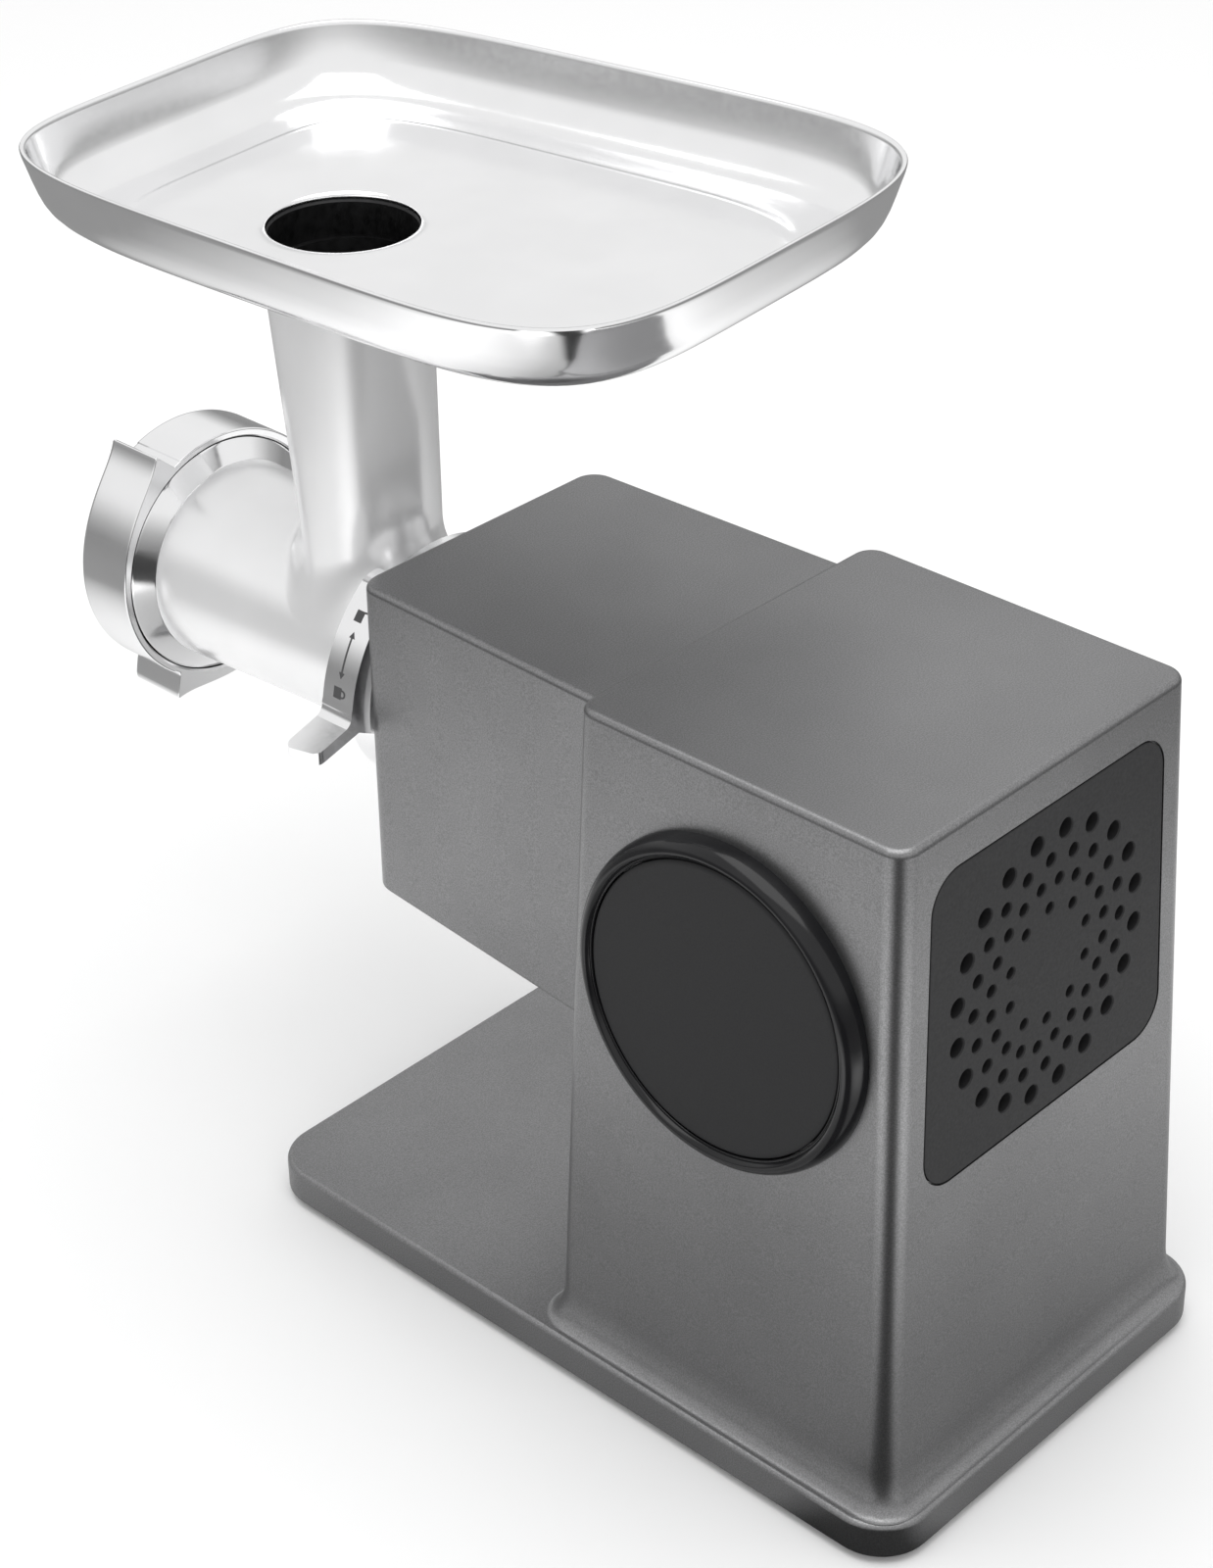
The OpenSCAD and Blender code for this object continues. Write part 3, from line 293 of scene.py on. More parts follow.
def make_materials():
    polished = (0.93, 0.93, 0.935)
    return {
        "metallic_paint": paint(),
        "matte_black": moulded("matte_black", (0.024, 0.024, 0.025), 0.55, specular=0.28),
        "cover_black": moulded("cover_black", (0.018, 0.018, 0.019), 0.45, 1.6, 0.06, 0.22),
        "gloss_black": gloss_black(),
        "rubber": moulded("rubber", (0.03, 0.03, 0.031), 0.75, 0.5, 0.25),
        "polished_aluminium": metal("polished_aluminium", polished, 0.14),
        "satin_barrel": metal("satin_barrel", polished, 0.24, 0.02, (1, 0.3, 1), 0.6, metallic=0.45),
        "mirror": metal("mirror", polished, 0.09, 0.02),
        # bore: the head's bore, throat and mouth; its near-black tone is painted shade, its roughness and
        # bump are the cast surface
        "bore": metal("bore", (0.045, 0.045, 0.046), 0.5, 0.1, strength=0.3),
        "satin_metal": metal("satin_metal", (0.78, 0.78, 0.79), 0.28, 0.08, (1, 0.1, 1), 0.8),
        "white_mark": moulded("white_mark", (0.85, 0.85, 0.85), 0.6),
        "printed_grey": moulded("printed_grey", (0.075, 0.075, 0.077), 0.55, 2.0, 0.02),
        "cast_aluminium": metal("cast_aluminium", (0.62, 0.62, 0.63), 0.42, 0.1, strength=0.3),
        "nylon": moulded("nylon", (0.78, 0.75, 0.64), 0.45),
        "copper": metal("copper", (0.78, 0.38, 0.2), 0.3, 0.1, (1, 0.05, 1), 1.2),
        "steel": metal("steel", (0.58, 0.59, 0.6), 0.3, 0.08),
    }


MATERIALS = make_materials()

# ---------------------------------------------------------------- mesh helpers


def new_mesh(name, points, faces, materials=("steel",), indices=None):
    """An object from points in millimetres; faces may have any number of corners."""
    mesh = bpy.data.meshes.new(name)
    mesh.from_pydata([Vector(p) * MM for p in points], [], faces)
    for material in materials:
        mesh.materials.append(MATERIALS[material])
    if indices:
        mesh.polygons.foreach_set("material_index", indices)
    obj = bpy.data.objects.new(name, mesh)
    bpy.context.scene.collection.objects.link(obj)
    fix_normals(obj)
    return obj


def fix_normals(obj):
    bm = bmesh.new()
    bm.from_mesh(obj.data)
    bmesh.ops.remove_doubles(bm, verts=bm.verts, dist=1e-7)
    bmesh.ops.recalc_face_normals(bm, faces=bm.faces)
    bm.to_mesh(obj.data)
    bm.free()


def loft(name, rings, materials=("steel",), closed=False, index=0):
    """A solid through rings of equal length; closed joins the last ring to the first."""
    count, n = len(rings), len(rings[0])
    points = [p for ring in rings for p in ring]
    spans = count if closed else count - 1
    faces = []
    for i in range(spans):
        a, b = i * n, (i + 1) % count * n
        for j in range(n):
            k = (j + 1) % n
            faces.append((a + j, a + k, b + k, b + j))
    if not closed:
        faces += [tuple(range(n))[::-1], tuple((count - 1) * n + j for j in range(n))]
    return new_mesh(name, points, faces, materials, [index] * len(faces))


def revolve(name, profile, place, materials=("steel",), steps=128, closed=True, index=0):
    """A profile of (radius, height) turned about local Z, then put in place by a matrix."""
    rings = []
    for radius, height in profile:
        rings.append([place @ Vector((radius * math.cos(2 * math.pi * s / steps),
                                      radius * math.sin(2 * math.pi * s / steps), height))
                      for s in range(steps)])
    return loft(name, rings, materials, closed, index)


def prism(name, outline, place, low, high, materials=("steel",), index=0):
    """A flat outline extruded along local Z and put in place by a matrix."""
    rings = [[place @ Vector((x, y, z)) for x, y in outline] for z in (low, high)]
    return loft(name, rings, materials, index=index)


def cut(obj, *tools, operation="DIFFERENCE"):
    """Applies a boolean with each tool, then removes the tools."""
    for tool in tools:
        modifier = obj.modifiers.new("cut", "BOOLEAN")
        modifier.operation, modifier.object, modifier.solver = operation, tool, "EXACT"
    apply_modifiers(obj)
    for tool in tools:
        mesh = tool.data
        bpy.data.objects.remove(tool)
        bpy.data.meshes.remove(mesh)
    return obj


def apply_modifiers(obj):
    bpy.context.view_layer.update()
    depsgraph = bpy.context.evaluated_depsgraph_get()
    mesh = bpy.data.meshes.new_from_object(obj.evaluated_get(depsgraph))
    old = obj.data
    obj.modifiers.clear()
    obj.data = mesh
    bpy.data.meshes.remove(old)
    mesh.name = obj.name


def bevel(obj, width, angle=30, segments=3):
    """A bevel on every edge sharper than the angle."""
    modifier = obj.modifiers.new("bevel", "BEVEL")
    modifier.width, modifier.segments = width * MM, segments
    modifier.limit_method, modifier.angle_limit = "ANGLE", math.radians(angle)
    modifier.use_clamp_overlap = True
    return obj


def finish_piece(obj, body, slot, *nodes, angle=32):
    """Smooth shading with sharp corners kept, and the piece's place in the frame."""
    mesh = obj.data
    mesh.shade_smooth()
    mesh.set_sharp_from_angle(angle=math.radians(angle))
    normals = obj.modifiers.new("normals", "WEIGHTED_NORMAL")
    normals.keep_sharp, normals.weight = True, 90
    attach(obj, body)
    if nodes:
        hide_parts(*nodes)
    return obj


def arc(cx, cy, r, start, end, steps):
    """Points of an arc, angles in degrees."""
    return [(cx + r * math.cos(math.radians(start + (end - start) * i / steps)),
             cy + r * math.sin(math.radians(start + (end - start) * i / steps)))
            for i in range(steps + 1)]


def rounded(corners, radii, steps=10):
    """A counter-clockwise polygon with each corner rounded by its own radius."""
    out = []
    n = len(corners)
    for i in range(n):
        a, b, c = (Vector(corners[k % n]) for k in (i - 1, i, i + 1))
        u, v = (a - b).normalized(), (c - b).normalized()
        half = u.angle(v) / 2
        r = radii[i]
        middle = b + (u + v).normalized() * r / math.sin(half)
        p, q = b + u * r / math.tan(half) - middle, b + v * r / math.tan(half) - middle
        start = math.atan2(p.y, p.x)
        turn = math.atan2(p.x * q.y - p.y * q.x, p.dot(q))
        out += [(middle.x + r * math.cos(start + turn * s / steps),
                 middle.y + r * math.sin(start + turn * s / steps)) for s in range(steps + 1)]
    return out


def rectangle(x0, x1, y0, y1, radius, steps=10):
    return rounded([(x0, y0), (x1, y0), (x1, y1), (x0, y1)], [radius] * 4, steps)


def along_y(y=0.0, x=0.0, z=AXIS_Z):
    """Local Z runs to -Y and local Y to +Z."""
    return Matrix.Translation((x, y, z)) @ Matrix.Rotation(math.pi / 2, 4, "X")


def on_side(side, y, z):
    """Local Z is the outward normal of a tower side."""
    tilt = math.atan(SIDE_DRAFT)
    turn = Matrix.Rotation(side * math.pi / 2, 4, "Z") @ Matrix.Rotation(math.pi / 2 - tilt, 4, "X")
    return Matrix.Translation((side * tower_half(z), y, z)) @ turn


def on_back(z):
    tilt = math.atan(BACK_DRAFT)
    turn = Matrix.Rotation(math.pi, 4, "Z") @ Matrix.Rotation(math.pi / 2 - tilt, 4, "X")
    return Matrix.Translation((0, tower_back(z), z)) @ turn


def quarter(steps):
    """Fractions (sin, cos) over a quarter turn."""
    return [(math.sin(math.pi / 2 * i / steps), math.cos(math.pi / 2 * i / steps))
            for i in range(steps + 1)]


# ---------------------------------------------------------------- painted castings


def slab_ring(inset, z):
    half_w, half_l = shell_high.x - inset, shell_high.y - inset
    return [(x, y, z) for x, y in rectangle(-half_w, half_w, -half_l, half_l, 19 - inset, 12)]


def tower_ring(z, inset=0.0, out=0.0):
    w = tower_half(z) + out - inset
    front, back = tower_front(z) + inset - out, tower_back(z) + out - inset
    return [(x, y, z) for x, y in rectangle(-w, w, front, back, max(EDGE_R + out - inset, 2), 12)]


def body_shell():
    lower, upper = 0.8, 2.0
    rings = [slab_ring(lower * (1 - s), SLAB_Z + lower * (1 - c)) for s, c in quarter(4)]
    rings += [slab_ring(upper * (1 - c), BASE_TOP - upper * (1 - s)) for s, c in quarter(7)]
    shell = loft("body_shell_skin", rings, ["metallic_paint"])
    rings = [tower_ring(BASE_TOP - 1, 0, FLARE_W)]
    rings += [tower_ring(BASE_TOP + FLARE_H * (1 - c), 0, FLARE_W * (1 - s)) for s, c in quarter(12)]
    rings += [tower_ring(TOWER_TOP - TOP_R * (1 - s), TOP_R * (1 - c)) for s, c in quarter(8)]
    cut(shell, loft("tower", rings), operation="UNION")
    side = on_side(-1, PANEL_Y, PANEL_Z)
    gland = Matrix.Translation(GLAND) @ on_side(-1, 0, 0).to_3x3().to_4x4()
    window = rectangle(-48, 48, BLOCK_FRONT_LOW + 8, BLOCK_TOP - 10, 2, 3)
    cut(shell,
        loft("cavity", [tower_ring(SLAB_Z - 1, WALL), tower_ring(TOWER_TOP - WALL, WALL)]),
        loft("hollow", [slab_ring(WALL, SLAB_Z - 1), slab_ring(WALL, BASE_TOP - WALL)]),
        prism("window", [(x, z - AXIS_Z) for x, z in window], along_y(5), 0, 30),
        prism("vent_recess", vent_outline(0.6), on_back(VENT_MID), -VENT_RECESS, 5),
        prism("vent_hole", vent_outline(-VENT_LEDGE), on_back(VENT_MID), -8, 1),
        revolve("switch_hole", [(30, -10), (30, 10)], side, closed=False),
        revolve("gland_hole", [(9, -10), (9, 10)], gland, steps=64, closed=False))
    return finish_piece(shell, "base", "metallic_paint", "body_shell")


def block_ring(z_of, inset):
    """Plan of the gear housing at a height that may depend on y; its back lies on the tower."""
    w, f, front = BLOCK_W / 2 - inset, BLOCK_FRONT_W / 2 - inset, BLOCK_Y + inset
    plan = rounded([(-w, -4), (-f, front), (f, front), (w, -4)], [0.2, EDGE_R, EDGE_R, 0.2], 12)
    out = []
    for x, y in plan:
        z = z_of(y)
        out.append((x, tower_front(z) if y > -8 else y, z))
    return out


def block_floor(y):
    return BLOCK_FRONT_LOW - BLOCK_SLOPE * (y - BLOCK_Y)


def gear_housing():
    edge = 1.2
    rings = [block_ring(lambda y, s=s, c=c: block_floor(y) + edge * (1 - c), edge * (1 - s))
             for s, c in quarter(4)]
    rings += [block_ring(lambda y, s=s: BLOCK_TOP - TOP_R * (1 - s), TOP_R * (1 - c))
              for s, c in quarter(8)]
    block = loft("gear_housing_skin", rings, ["metallic_paint"])
    inner = [block_ring(lambda y: block_floor(y) + WALL, WALL),
             block_ring(lambda y: BLOCK_TOP - WALL, WALL)]
    inner = [[(x, y + 4 if y > -9 else y, z) for x, y, z in ring] for ring in inner]
    cut(block, loft("block_cavity", inner),
        revolve("collar_hole", [(COLLAR_HOLE_R, -10), (COLLAR_HOLE_R, 10)], along_y(BLOCK_Y), closed=False))
    return finish_piece(block, "base", "metallic_paint", "gear_housing")


# ---------------------------------------------------------------- vent and round panels


def vent_outline(grow):
    low, high = VENT_LOW - VENT_MID - grow, VENT_HIGH - VENT_MID + grow
    top = VENT_HALF_W + grow
    foot = top + SIDE_DRAFT * (high - low)
    return rounded([(-foot, low), (foot, low), (top, high), (-top, high)], [VENT_CORNER + grow] * 4, 14)


def vent_panel():
    place = on_back(VENT_MID)
    levels = [(-VENT_RECESS, 0), (-0.4, 0), (-0.12, -0.1), (0, -0.45)]
    rings = [[place @ Vector((x, y, z)) for x, y in vent_outline(grow)] for z, grow in levels]
    panel = loft("vent_panel_face", rings, ["matte_black"])
    ledge = prism("ledge", vent_outline(-VENT_LEDGE - 0.6), place, -4, -1)
    cut(panel, ledge, operation="UNION")
    holes = []
    for count, ring_r, hole_r, start in VENT_RINGS:
        for i in range(count):
            turn = Matrix.Rotation(math.radians(start + i * 360 / count), 4, "Z")
            spot = place @ turn @ Matrix.Translation((ring_r, 0, 0))
            profile = [(hole_r, -6), (hole_r, -0.45), (hole_r + 0.4, 0), (hole_r + 0.4, 1)]
            holes.append(revolve("hole", profile, spot, steps=28, closed=False))
    cut(panel, *join(holes))
    return finish_piece(panel, "base", "matte_black", "vent_panel")


def join(objects):
    """Joins separate meshes that don't touch into one object, returned in a list."""
    bm = bmesh.new()
    for obj in objects:
        bm.from_mesh(obj.data)
    target = objects[0]
    bm.to_mesh(target.data)
    bm.free()
    for obj in objects[1:]:
        mesh = obj.data
        bpy.data.objects.remove(obj)
        bpy.data.meshes.remove(mesh)
    return [target]


def bezel(name, side, node):
    """Domed ring: steep outside, a long inner slope, then two fine lips round the cover."""
    dome = [(BEZEL_R - 4.4 + 4.4 * c, 0.6 + (BEZEL_H - 0.6) * s) for s, c in quarter(14)]
    slope = [(BEZEL_R - 4.4 - 1.3 * t, BEZEL_H - 1.3 * t * t) for t in (0.33, 0.66, 1)]
    lips = [(COVER_R + out, h) for out, h in
            ((1.2, 6.5), (1.1, 6.15), (0.9, 6.1), (0.75, 6.3), (0.5, 6.35), (0.4, 6.2))]
    profile = [(COVER_R + 0.4, 0), (BEZEL_R, 0)] + dome + slope + lips
    ring = revolve(name, profile, on_side(side, PANEL_Y, PANEL_Z), ["gloss_black"], 192)
    return finish_piece(ring, "base", "gloss_black", node)


def cover(name, side, node, hole=0.0):
    """Matte disc with a soft rim and a very shallow dish."""
    top = BEZEL_H - 2.4 + 0.8
    rim = [(COVER_R, 0), (COVER_R, top - 0.9), (COVER_R - 0.25, top - 0.35), (COVER_R - 0.9, top)]
    dish = [(COVER_R * t, top - 0.5 * (1 - t * t)) for t in (0.96, 0.85, 0.7, 0.55, 0.4, 0.25, 0.12)]
    profile = [(hole, 0)] * bool(hole) + rim + dish + [(hole or 0.6, top - 0.5)]
    if not hole:
        profile = [(0.6, 0)] + profile
    disc = revolve(name, profile, on_side(side, PANEL_Y, PANEL_Z), ["cover_black"], 160, bool(hole))
    return finish_piece(disc, "base", "matte_black", node)


# ---------------------------------------------------------------- head


def barrel_radius(y):
    share = (y - lock_low.y) / (THREAD_Y + 5 - lock_low.y)
    return BARREL_R + (BARREL_FRONT_R - BARREL_R) * min(max(share, 0), 1)


def soft_min(a, b, k):
    """The smaller of two numbers with their meeting rounded over about k."""
    h = max(k - abs(a - b), 0) / k
    return min(a, b) - h * h * k / 4


def tube_wall(angle, z, inset=0.0):
    """Outline point of the feed tube: a circle cut by the wall that leans back at its foot."""
    ux, uy = math.cos(angle), math.sin(angle)
    shift = TUBE_LEAN_SHIFT + (TUBE_MOUTH - TUBE_LEAN_TOP - z) * TUBE_LEAN
    lean_r = TUBE_R + 0.7 - inset
    lean = uy * shift + math.sqrt(max(lean_r ** 2 - (ux * shift) ** 2, 0))
    full = TUBE_R - inset
    if z > TUBE_MOUTH - TUBE_STRAIGHT_L:
        return Vector((ux * full, TUBE_Y + uy * full, z))
    rho = soft_min(full, lean, 0.8)
    return Vector((ux * rho, TUBE_Y + uy * rho, z))


def barrel_top(x, y):
    r = barrel_radius(y)
    return AXIS_Z + math.sqrt(max(r * r - x * x, 0))


def tube_column(angle, levels, fillet_steps):
    """Points of one upright line of the tube, from its mouth down and out over the barrel."""
    out_dir = Vector((math.cos(angle), math.sin(angle)))
    foot = tube_wall(angle, AXIS_Z + 30)
    barrel_r = barrel_radius(foot.y)
    reach = min(TUBE_FILLET, 0.78 * (barrel_r - abs(foot.x)))
    rise = TUBE_FILLET * (1 + abs(foot.x) / barrel_r)
    base = barrel_top(foot.x, foot.y) + rise
    top = TUBE_MOUTH - TUBE_STRAIGHT_L - 1
    column = []
    for i in range(levels + 1):
        z = top + (base - top) * i / levels
        column.append(tube_wall(angle, z))
    wall = tube_wall(angle, base)
    for i in range(1, fillet_steps + 1):
        s, c = math.sin(math.pi / 2 * i / fillet_steps), math.cos(math.pi / 2 * i / fillet_steps)
        x, y = wall.x + out_dir.x * reach * (1 - c), wall.y + out_dir.y * reach * (1 - c)
        column.append(Vector((x, y, barrel_top(x, y) + rise * (1 - s) - 0.04 * i / fillet_steps)))
    last = column[-1]
    column.append(Vector((last.x, last.y, last.z - 6)))
    return column


def feed_tube(steps=200):
    lip = [(TUBE_R - TUBE_LIP_R * (1 - s), TUBE_MOUTH - TUBE_LIP_R * (1 - c)) for s, c in quarter(4)]
    columns = []
    for k in range(steps):
        angle = 2 * math.pi * k / steps
        ux, uy = math.cos(angle), math.sin(angle)
        top = [Vector((ux * r, TUBE_Y + uy * r, z)) for r, z in lip]
        top.append(Vector((ux * TUBE_R, TUBE_Y + uy * TUBE_R, TUBE_MOUTH - TUBE_STRAIGHT_L + 0.2)))
        columns.append(top + tube_column(angle, 10, 8))
    rings = [[column[i] for column in columns] for i in range(len(columns[0]))]
    return loft("tube", rings)


def head_casting():
    shoulder = lock_low.y - 0.6
    back = head_high.y
    outer = [(CORE_R, back), (SPIGOT_R, back), (SPIGOT_R, shoulder + 1), (BARREL_R - 1, shoulder + 1),
             (BARREL_R, shoulder), (BARREL_FRONT_R, THREAD_Y + 5.4),
             (BARREL_FRONT_R - 0.5, THREAD_Y + 5.1), (BARREL_FRONT_R + 0.3, THREAD_Y + 4.7),
             (THREAD_R - 0.6, THREAD_Y + 0.5), (THREAD_R, THREAD_Y), (THREAD_R, THREAD_END + 1),
             (THREAD_R - 1, THREAD_END), (CORE_R, THREAD_END)]
    head = revolve("head_casting_skin", [(r, -y) for r, y in outer], along_y(0),
                   ["satin_barrel", "bore", "mirror"], 256, False)
    cut(head, feed_tube(), operation="UNION")
    room, seat = THREAD_END + KNIFE_ROOM_L, THREAD_END + PLATE_SEAT_L
    bore = [(CORE_R, back + 5), (SHAFT_HOLE_R, back + 5), (SHAFT_HOLE_R, back - 12), (BORE_R, back - 12),
            (BORE_R, room), (KNIFE_ROOM_R, room), (KNIFE_ROOM_R, seat), (PLATE_SEAT_R, seat),
            (PLATE_SEAT_R, THREAD_END - 3), (CORE_R, THREAD_END - 3)]
    mouth_floor, mouth_r = TUBE_MOUTH - TUBE_STRAIGHT_L - 0.1, MOUTH_BORE_R + 0.8
    mouth = [(CORE_R, mouth_floor), (MOUTH_BORE_R, mouth_floor), (MOUTH_BORE_R, TUBE_MOUTH - 1.2),
             (mouth_r, TUBE_MOUTH), (mouth_r, TUBE_MOUTH + 2), (CORE_R, TUBE_MOUTH + 2)]
    turns = [2 * math.pi * k / 160 for k in range(160)]
    throat_l, wall = TUBE_MOUTH - TUBE_STRAIGHT_L - AXIS_Z, TUBE_R - TUBE_BORE_R
    throat = [[tube_wall(a, AXIS_Z + throat_l * i / 12, wall) for a in turns] for i in range(13)]
    # the inner faces take the bore material, near-black as painted shade inside the head
    slots = ["satin_barrel", "bore"]
    cut(head,
        revolve("barrel_bore", [(r, -y) for r, y in bore], along_y(0), slots, 160, False, 1),
        loft("throat", throat, slots, index=1),
        revolve("mouth_bore", mouth, Matrix.Translation((0, TUBE_Y, 0)), slots, 160, False, 1))
    for polygon in head.data.polygons:
        y, radius = polygon.center.y / MM, math.hypot(polygon.center.x / MM, polygon.center.z / MM - AXIS_Z)
        if polygon.material_index == 0 and y < THREAD_Y + 5.2 and radius > BARREL_FRONT_R - 1:
            polygon.material_index = 2
    return finish_piece(head, "head", "polished_aluminium", "head_casting", angle=28)


# ---------------------------------------------------------------- locking ring


def strap_outline():
    """Section of the strap seen from the outlet: the arc, its run down to the hub, and the tab."""
    root_angle, end, out, droop = 3, 50, 76, math.radians(15)
    root = STRAP_R * Vector((math.cos(math.radians(root_angle)), math.sin(math.radians(root_angle))))
    along = Vector((math.cos(-droop), math.sin(-droop)))
    down = Vector((along.y, -along.x))
    tab_l, tab_t, sweep = 19.5, 4.6, 4.5
    tip = root + along * tab_l
    # concave sweep from the strap's face into the tab's upper face
    middle = root + along * (sweep - 1.2) - down * (sweep + 0.4)
    face = [(middle + sweep * Vector((math.cos(math.radians(a)), math.sin(math.radians(a))))).to_tuple()
            for a in range(255, 172, -9)]
    points = [(LOCK_HUB_R - 4, -8), (root + down * tab_t - along * 2).to_tuple(),
              (tip + down * tab_t).to_tuple(), tip.to_tuple()] + face
    points += arc(0, 0, STRAP_R, root_angle + 6, end, 24)
    for i in range(1, 17):
        a = math.radians(end + (out - end) * i / 16)
        r = STRAP_R - (STRAP_R - LOCK_HUB_R + 1) * (1 - math.cos(math.pi * i / 16)) / 2
        points.append((r * math.cos(a), r * math.sin(a)))
    points += [((LOCK_HUB_R - 4) * math.cos(a), (LOCK_HUB_R - 4) * math.sin(a)) for a in (1.05, 0.52)]
    return points


def locking_ring():
    rear, front = lock_high.y, lock_low.y
    strap = prism("locking_ring_skin", strap_outline(), along_y(rear), 0, STRAP_W,
                  ["polished_aluminium"])
    tip = lock_high.x + 0.5
    plan = rounded([(30, rear - STRAP_W), (tip, rear - STRAP_W), (tip - 3, rear), (30, rear)],
                   [1, 3.4, 3.4, 1], 8)
    cut(strap, prism("plan", plan, Matrix(), AXIS_Z - 60, AXIS_Z + 80), operation="INTERSECT")
    bevel(strap, 1.1, 34, 4)
    apply_modifiers(strap)
    hub = [(COLLAR_R + 0.3, rear), (LOCK_HUB_R - 0.8, rear), (LOCK_HUB_R, rear - 0.8),
           (LOCK_HUB_R, front + 6.2), (LOCK_HUB_R - 0.5, front + 5.4), (LOCK_HUB_R - 4.6, front + 0.5),
           (LOCK_HUB_R - 5.4, front), (BARREL_R + 0.4, front), (BARREL_R + 0.4, front + 2.6),
           (COLLAR_R + 0.3, front + 2.6)]
    cut(strap, revolve("hub", [(r, -y) for r, y in hub], along_y(0), ["polished_aluminium"], 192),
        operation="UNION")
    return finish_piece(strap, "lock", "polished_aluminium", "locking_ring", angle=30)


def mark(name, loops, lift=0.12):
    """Printed shapes on the strap's outer face, given as closed loops of (angle, y) in degrees and mm."""
    points, faces = [], []
    for loop in loops:
        start = len(points)
        for radius in (STRAP_R - 0.2, STRAP_R + lift):
            points += [(radius * math.cos(math.radians(a)), y, AXIS_Z + radius * math.sin(math.radians(a)))
                       for a, y in loop]
        n = len(loop)
        faces.append(tuple(start + n + i for i in range(n)))
        faces.append(tuple(start + i for i in range(n))[::-1])
        faces += [(start + i, start + (i + 1) % n, start + n + (i + 1) % n, start + n + i) for i in range(n)]
    obj = new_mesh(name, points, faces, ["printed_grey"])
    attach(obj, "lock")
    return obj


def padlock(middle_angle, middle_y, opened):
    """A padlock: a square body towards the outlet and its shackle towards the block."""
    deg = 180 / math.pi / STRAP_R     # degrees per millimetre round the strap
    half, body = 2.1, 3.6
    front = middle_y - 2.4
    square = [(middle_angle - half * deg, front), (middle_angle + half * deg, front),
              (middle_angle + half * deg, front + body), (middle_angle - half * deg, front + body)]
    loops = [square]
    shift = half * 1.5 if opened else 0
    span = (20, 180) if opened else (0, 180)
    steps, outer, inner = 8, 1.6, 0.95
    for i in range(steps):
        a0 = math.radians(span[0] + (span[1] - span[0]) * i / steps)
        a1 = math.radians(span[0] + (span[1] - span[0]) * (i + 1) / steps)
        quad = [(r, a) for r, a in ((outer, a0), (outer, a1), (inner, a1), (inner, a0))]
        loops.append([(middle_angle + (shift + r * math.cos(a)) * deg, front + body + 0.5 + r * math.sin(a))
                      for r, a in quad])
    for x in ((-outer, -inner),) if opened else ((-outer, -inner), (inner, outer)):
        loops.append([(middle_angle + (shift + x[0]) * deg, front + body - 0.1),
                      (middle_angle + (shift + x[1]) * deg, front + body - 0.1),
                      (middle_angle + (shift + x[1]) * deg, front + body + 0.5),
                      (middle_angle + (shift + x[0]) * deg, front + body + 0.5)])
    return loops


def strap_marks():
    y = lock_high.y - STRAP_W / 2
    mark("mark_locked", padlock(12.5, y, False))
    mark("mark_open", padlock(39.5, y, True))
    start, end, tip, half, line = 17.5, 34.0, 2.2, 1.3, 0.32
    loops = [[(start, y), (start + tip, y - half), (start + tip, y + half)],
             [(end, y), (end - tip, y + half), (end - tip, y - half)]]
    step = (end - start - 2 * tip) / 8
    for i in range(8):
        a = start + tip + i * step
        loops.append([(a, y - line), (a + step, y - line), (a + step, y + line), (a, y + line)])
    mark("mark_arrow", loops)


# ---------------------------------------------------------------- screw ring


def lobe_radius(before):
    """Radius at an angle before a lobe's tip: a hollow run-out, a rounded tip and a short step."""
    run_degrees, hollow_degrees, step_degrees, tip_round, foot_round = 116, 12, 4, 2.6, 1.5
    high = RING_TIP_R - RING_R + 0.6
    run_out = high * (1 - before / run_degrees) / (1 + before / hollow_degrees) ** 1.1
    step = high * (1 + before / step_degrees)
    return RING_R - soft_min(-soft_min(run_out, step, tip_round), 0, foot_round)


def screw_ring():
    outline = []
    for tip in (60, 180, 300):
        for i in range(240):
            before = 112 - i / 2
            outline.append((lobe_radius(before), math.radians(tip - before)))
    depth = ring_high.y - ring_low.y
    front_r, rear_r = 2.2, 0.7
    levels = [(rear_r * (1 - s), rear_r * (1 - c)) for s, c in quarter(4)]
    levels += [(front_r * (1 - s), depth - front_r * (1 - c)) for s, c in reversed(quarter(6))]
    rings = []
    place = along_y(ring_high.y)
    for inset, z in levels:
        rings.append([place @ Vector(((r - inset) * math.cos(a), (r - inset) * math.sin(a), z))
                      for r, a in outline])
    ring = loft("screw_ring_skin", rings, ["polished_aluminium"])
    plate_t, plate_gap, bore_r, mouth_r = 8, 0.2, THREAD_R + 0.5, 37
    lip = ring_high.y - (THREAD_END + PLATE_SEAT_L - plate_t - plate_gap)
    bore = [(CORE_R, -1), (bore_r + 1.7, -1), (bore_r + 0.7, 0), (bore_r, 0.7), (bore_r, lip), (mouth_r, lip),
            (mouth_r, depth - 1.5), (mouth_r + 1.5, depth), (mouth_r + 2, depth + 1), (CORE_R, depth + 1)]
    cut(ring, revolve("ring_bore", bore, place, ["polished_aluminium"], 192, False))
    return finish_piece(ring, "ring", "polished_aluminium", "screw_ring", angle=30)


# ---------------------------------------------------------------- tray


def even(points, count):
    """The closed outline resampled to evenly spaced points."""
    loop = [Vector(p) for p in points]
    loop.append(loop[0])
    lengths = [0.0]
    for a, b in zip(loop, loop[1:]):
        lengths.append(lengths[-1] + (b - a).length)
    out, k = [], 0
    for i in range(count):
        at = lengths[-1] * i / count
        while lengths[k + 1] < at:
            k += 1
        share = (at - lengths[k]) / max(lengths[k + 1] - lengths[k], 1e-9)
        out.append(loop[k].lerp(loop[k + 1], share))
    return out


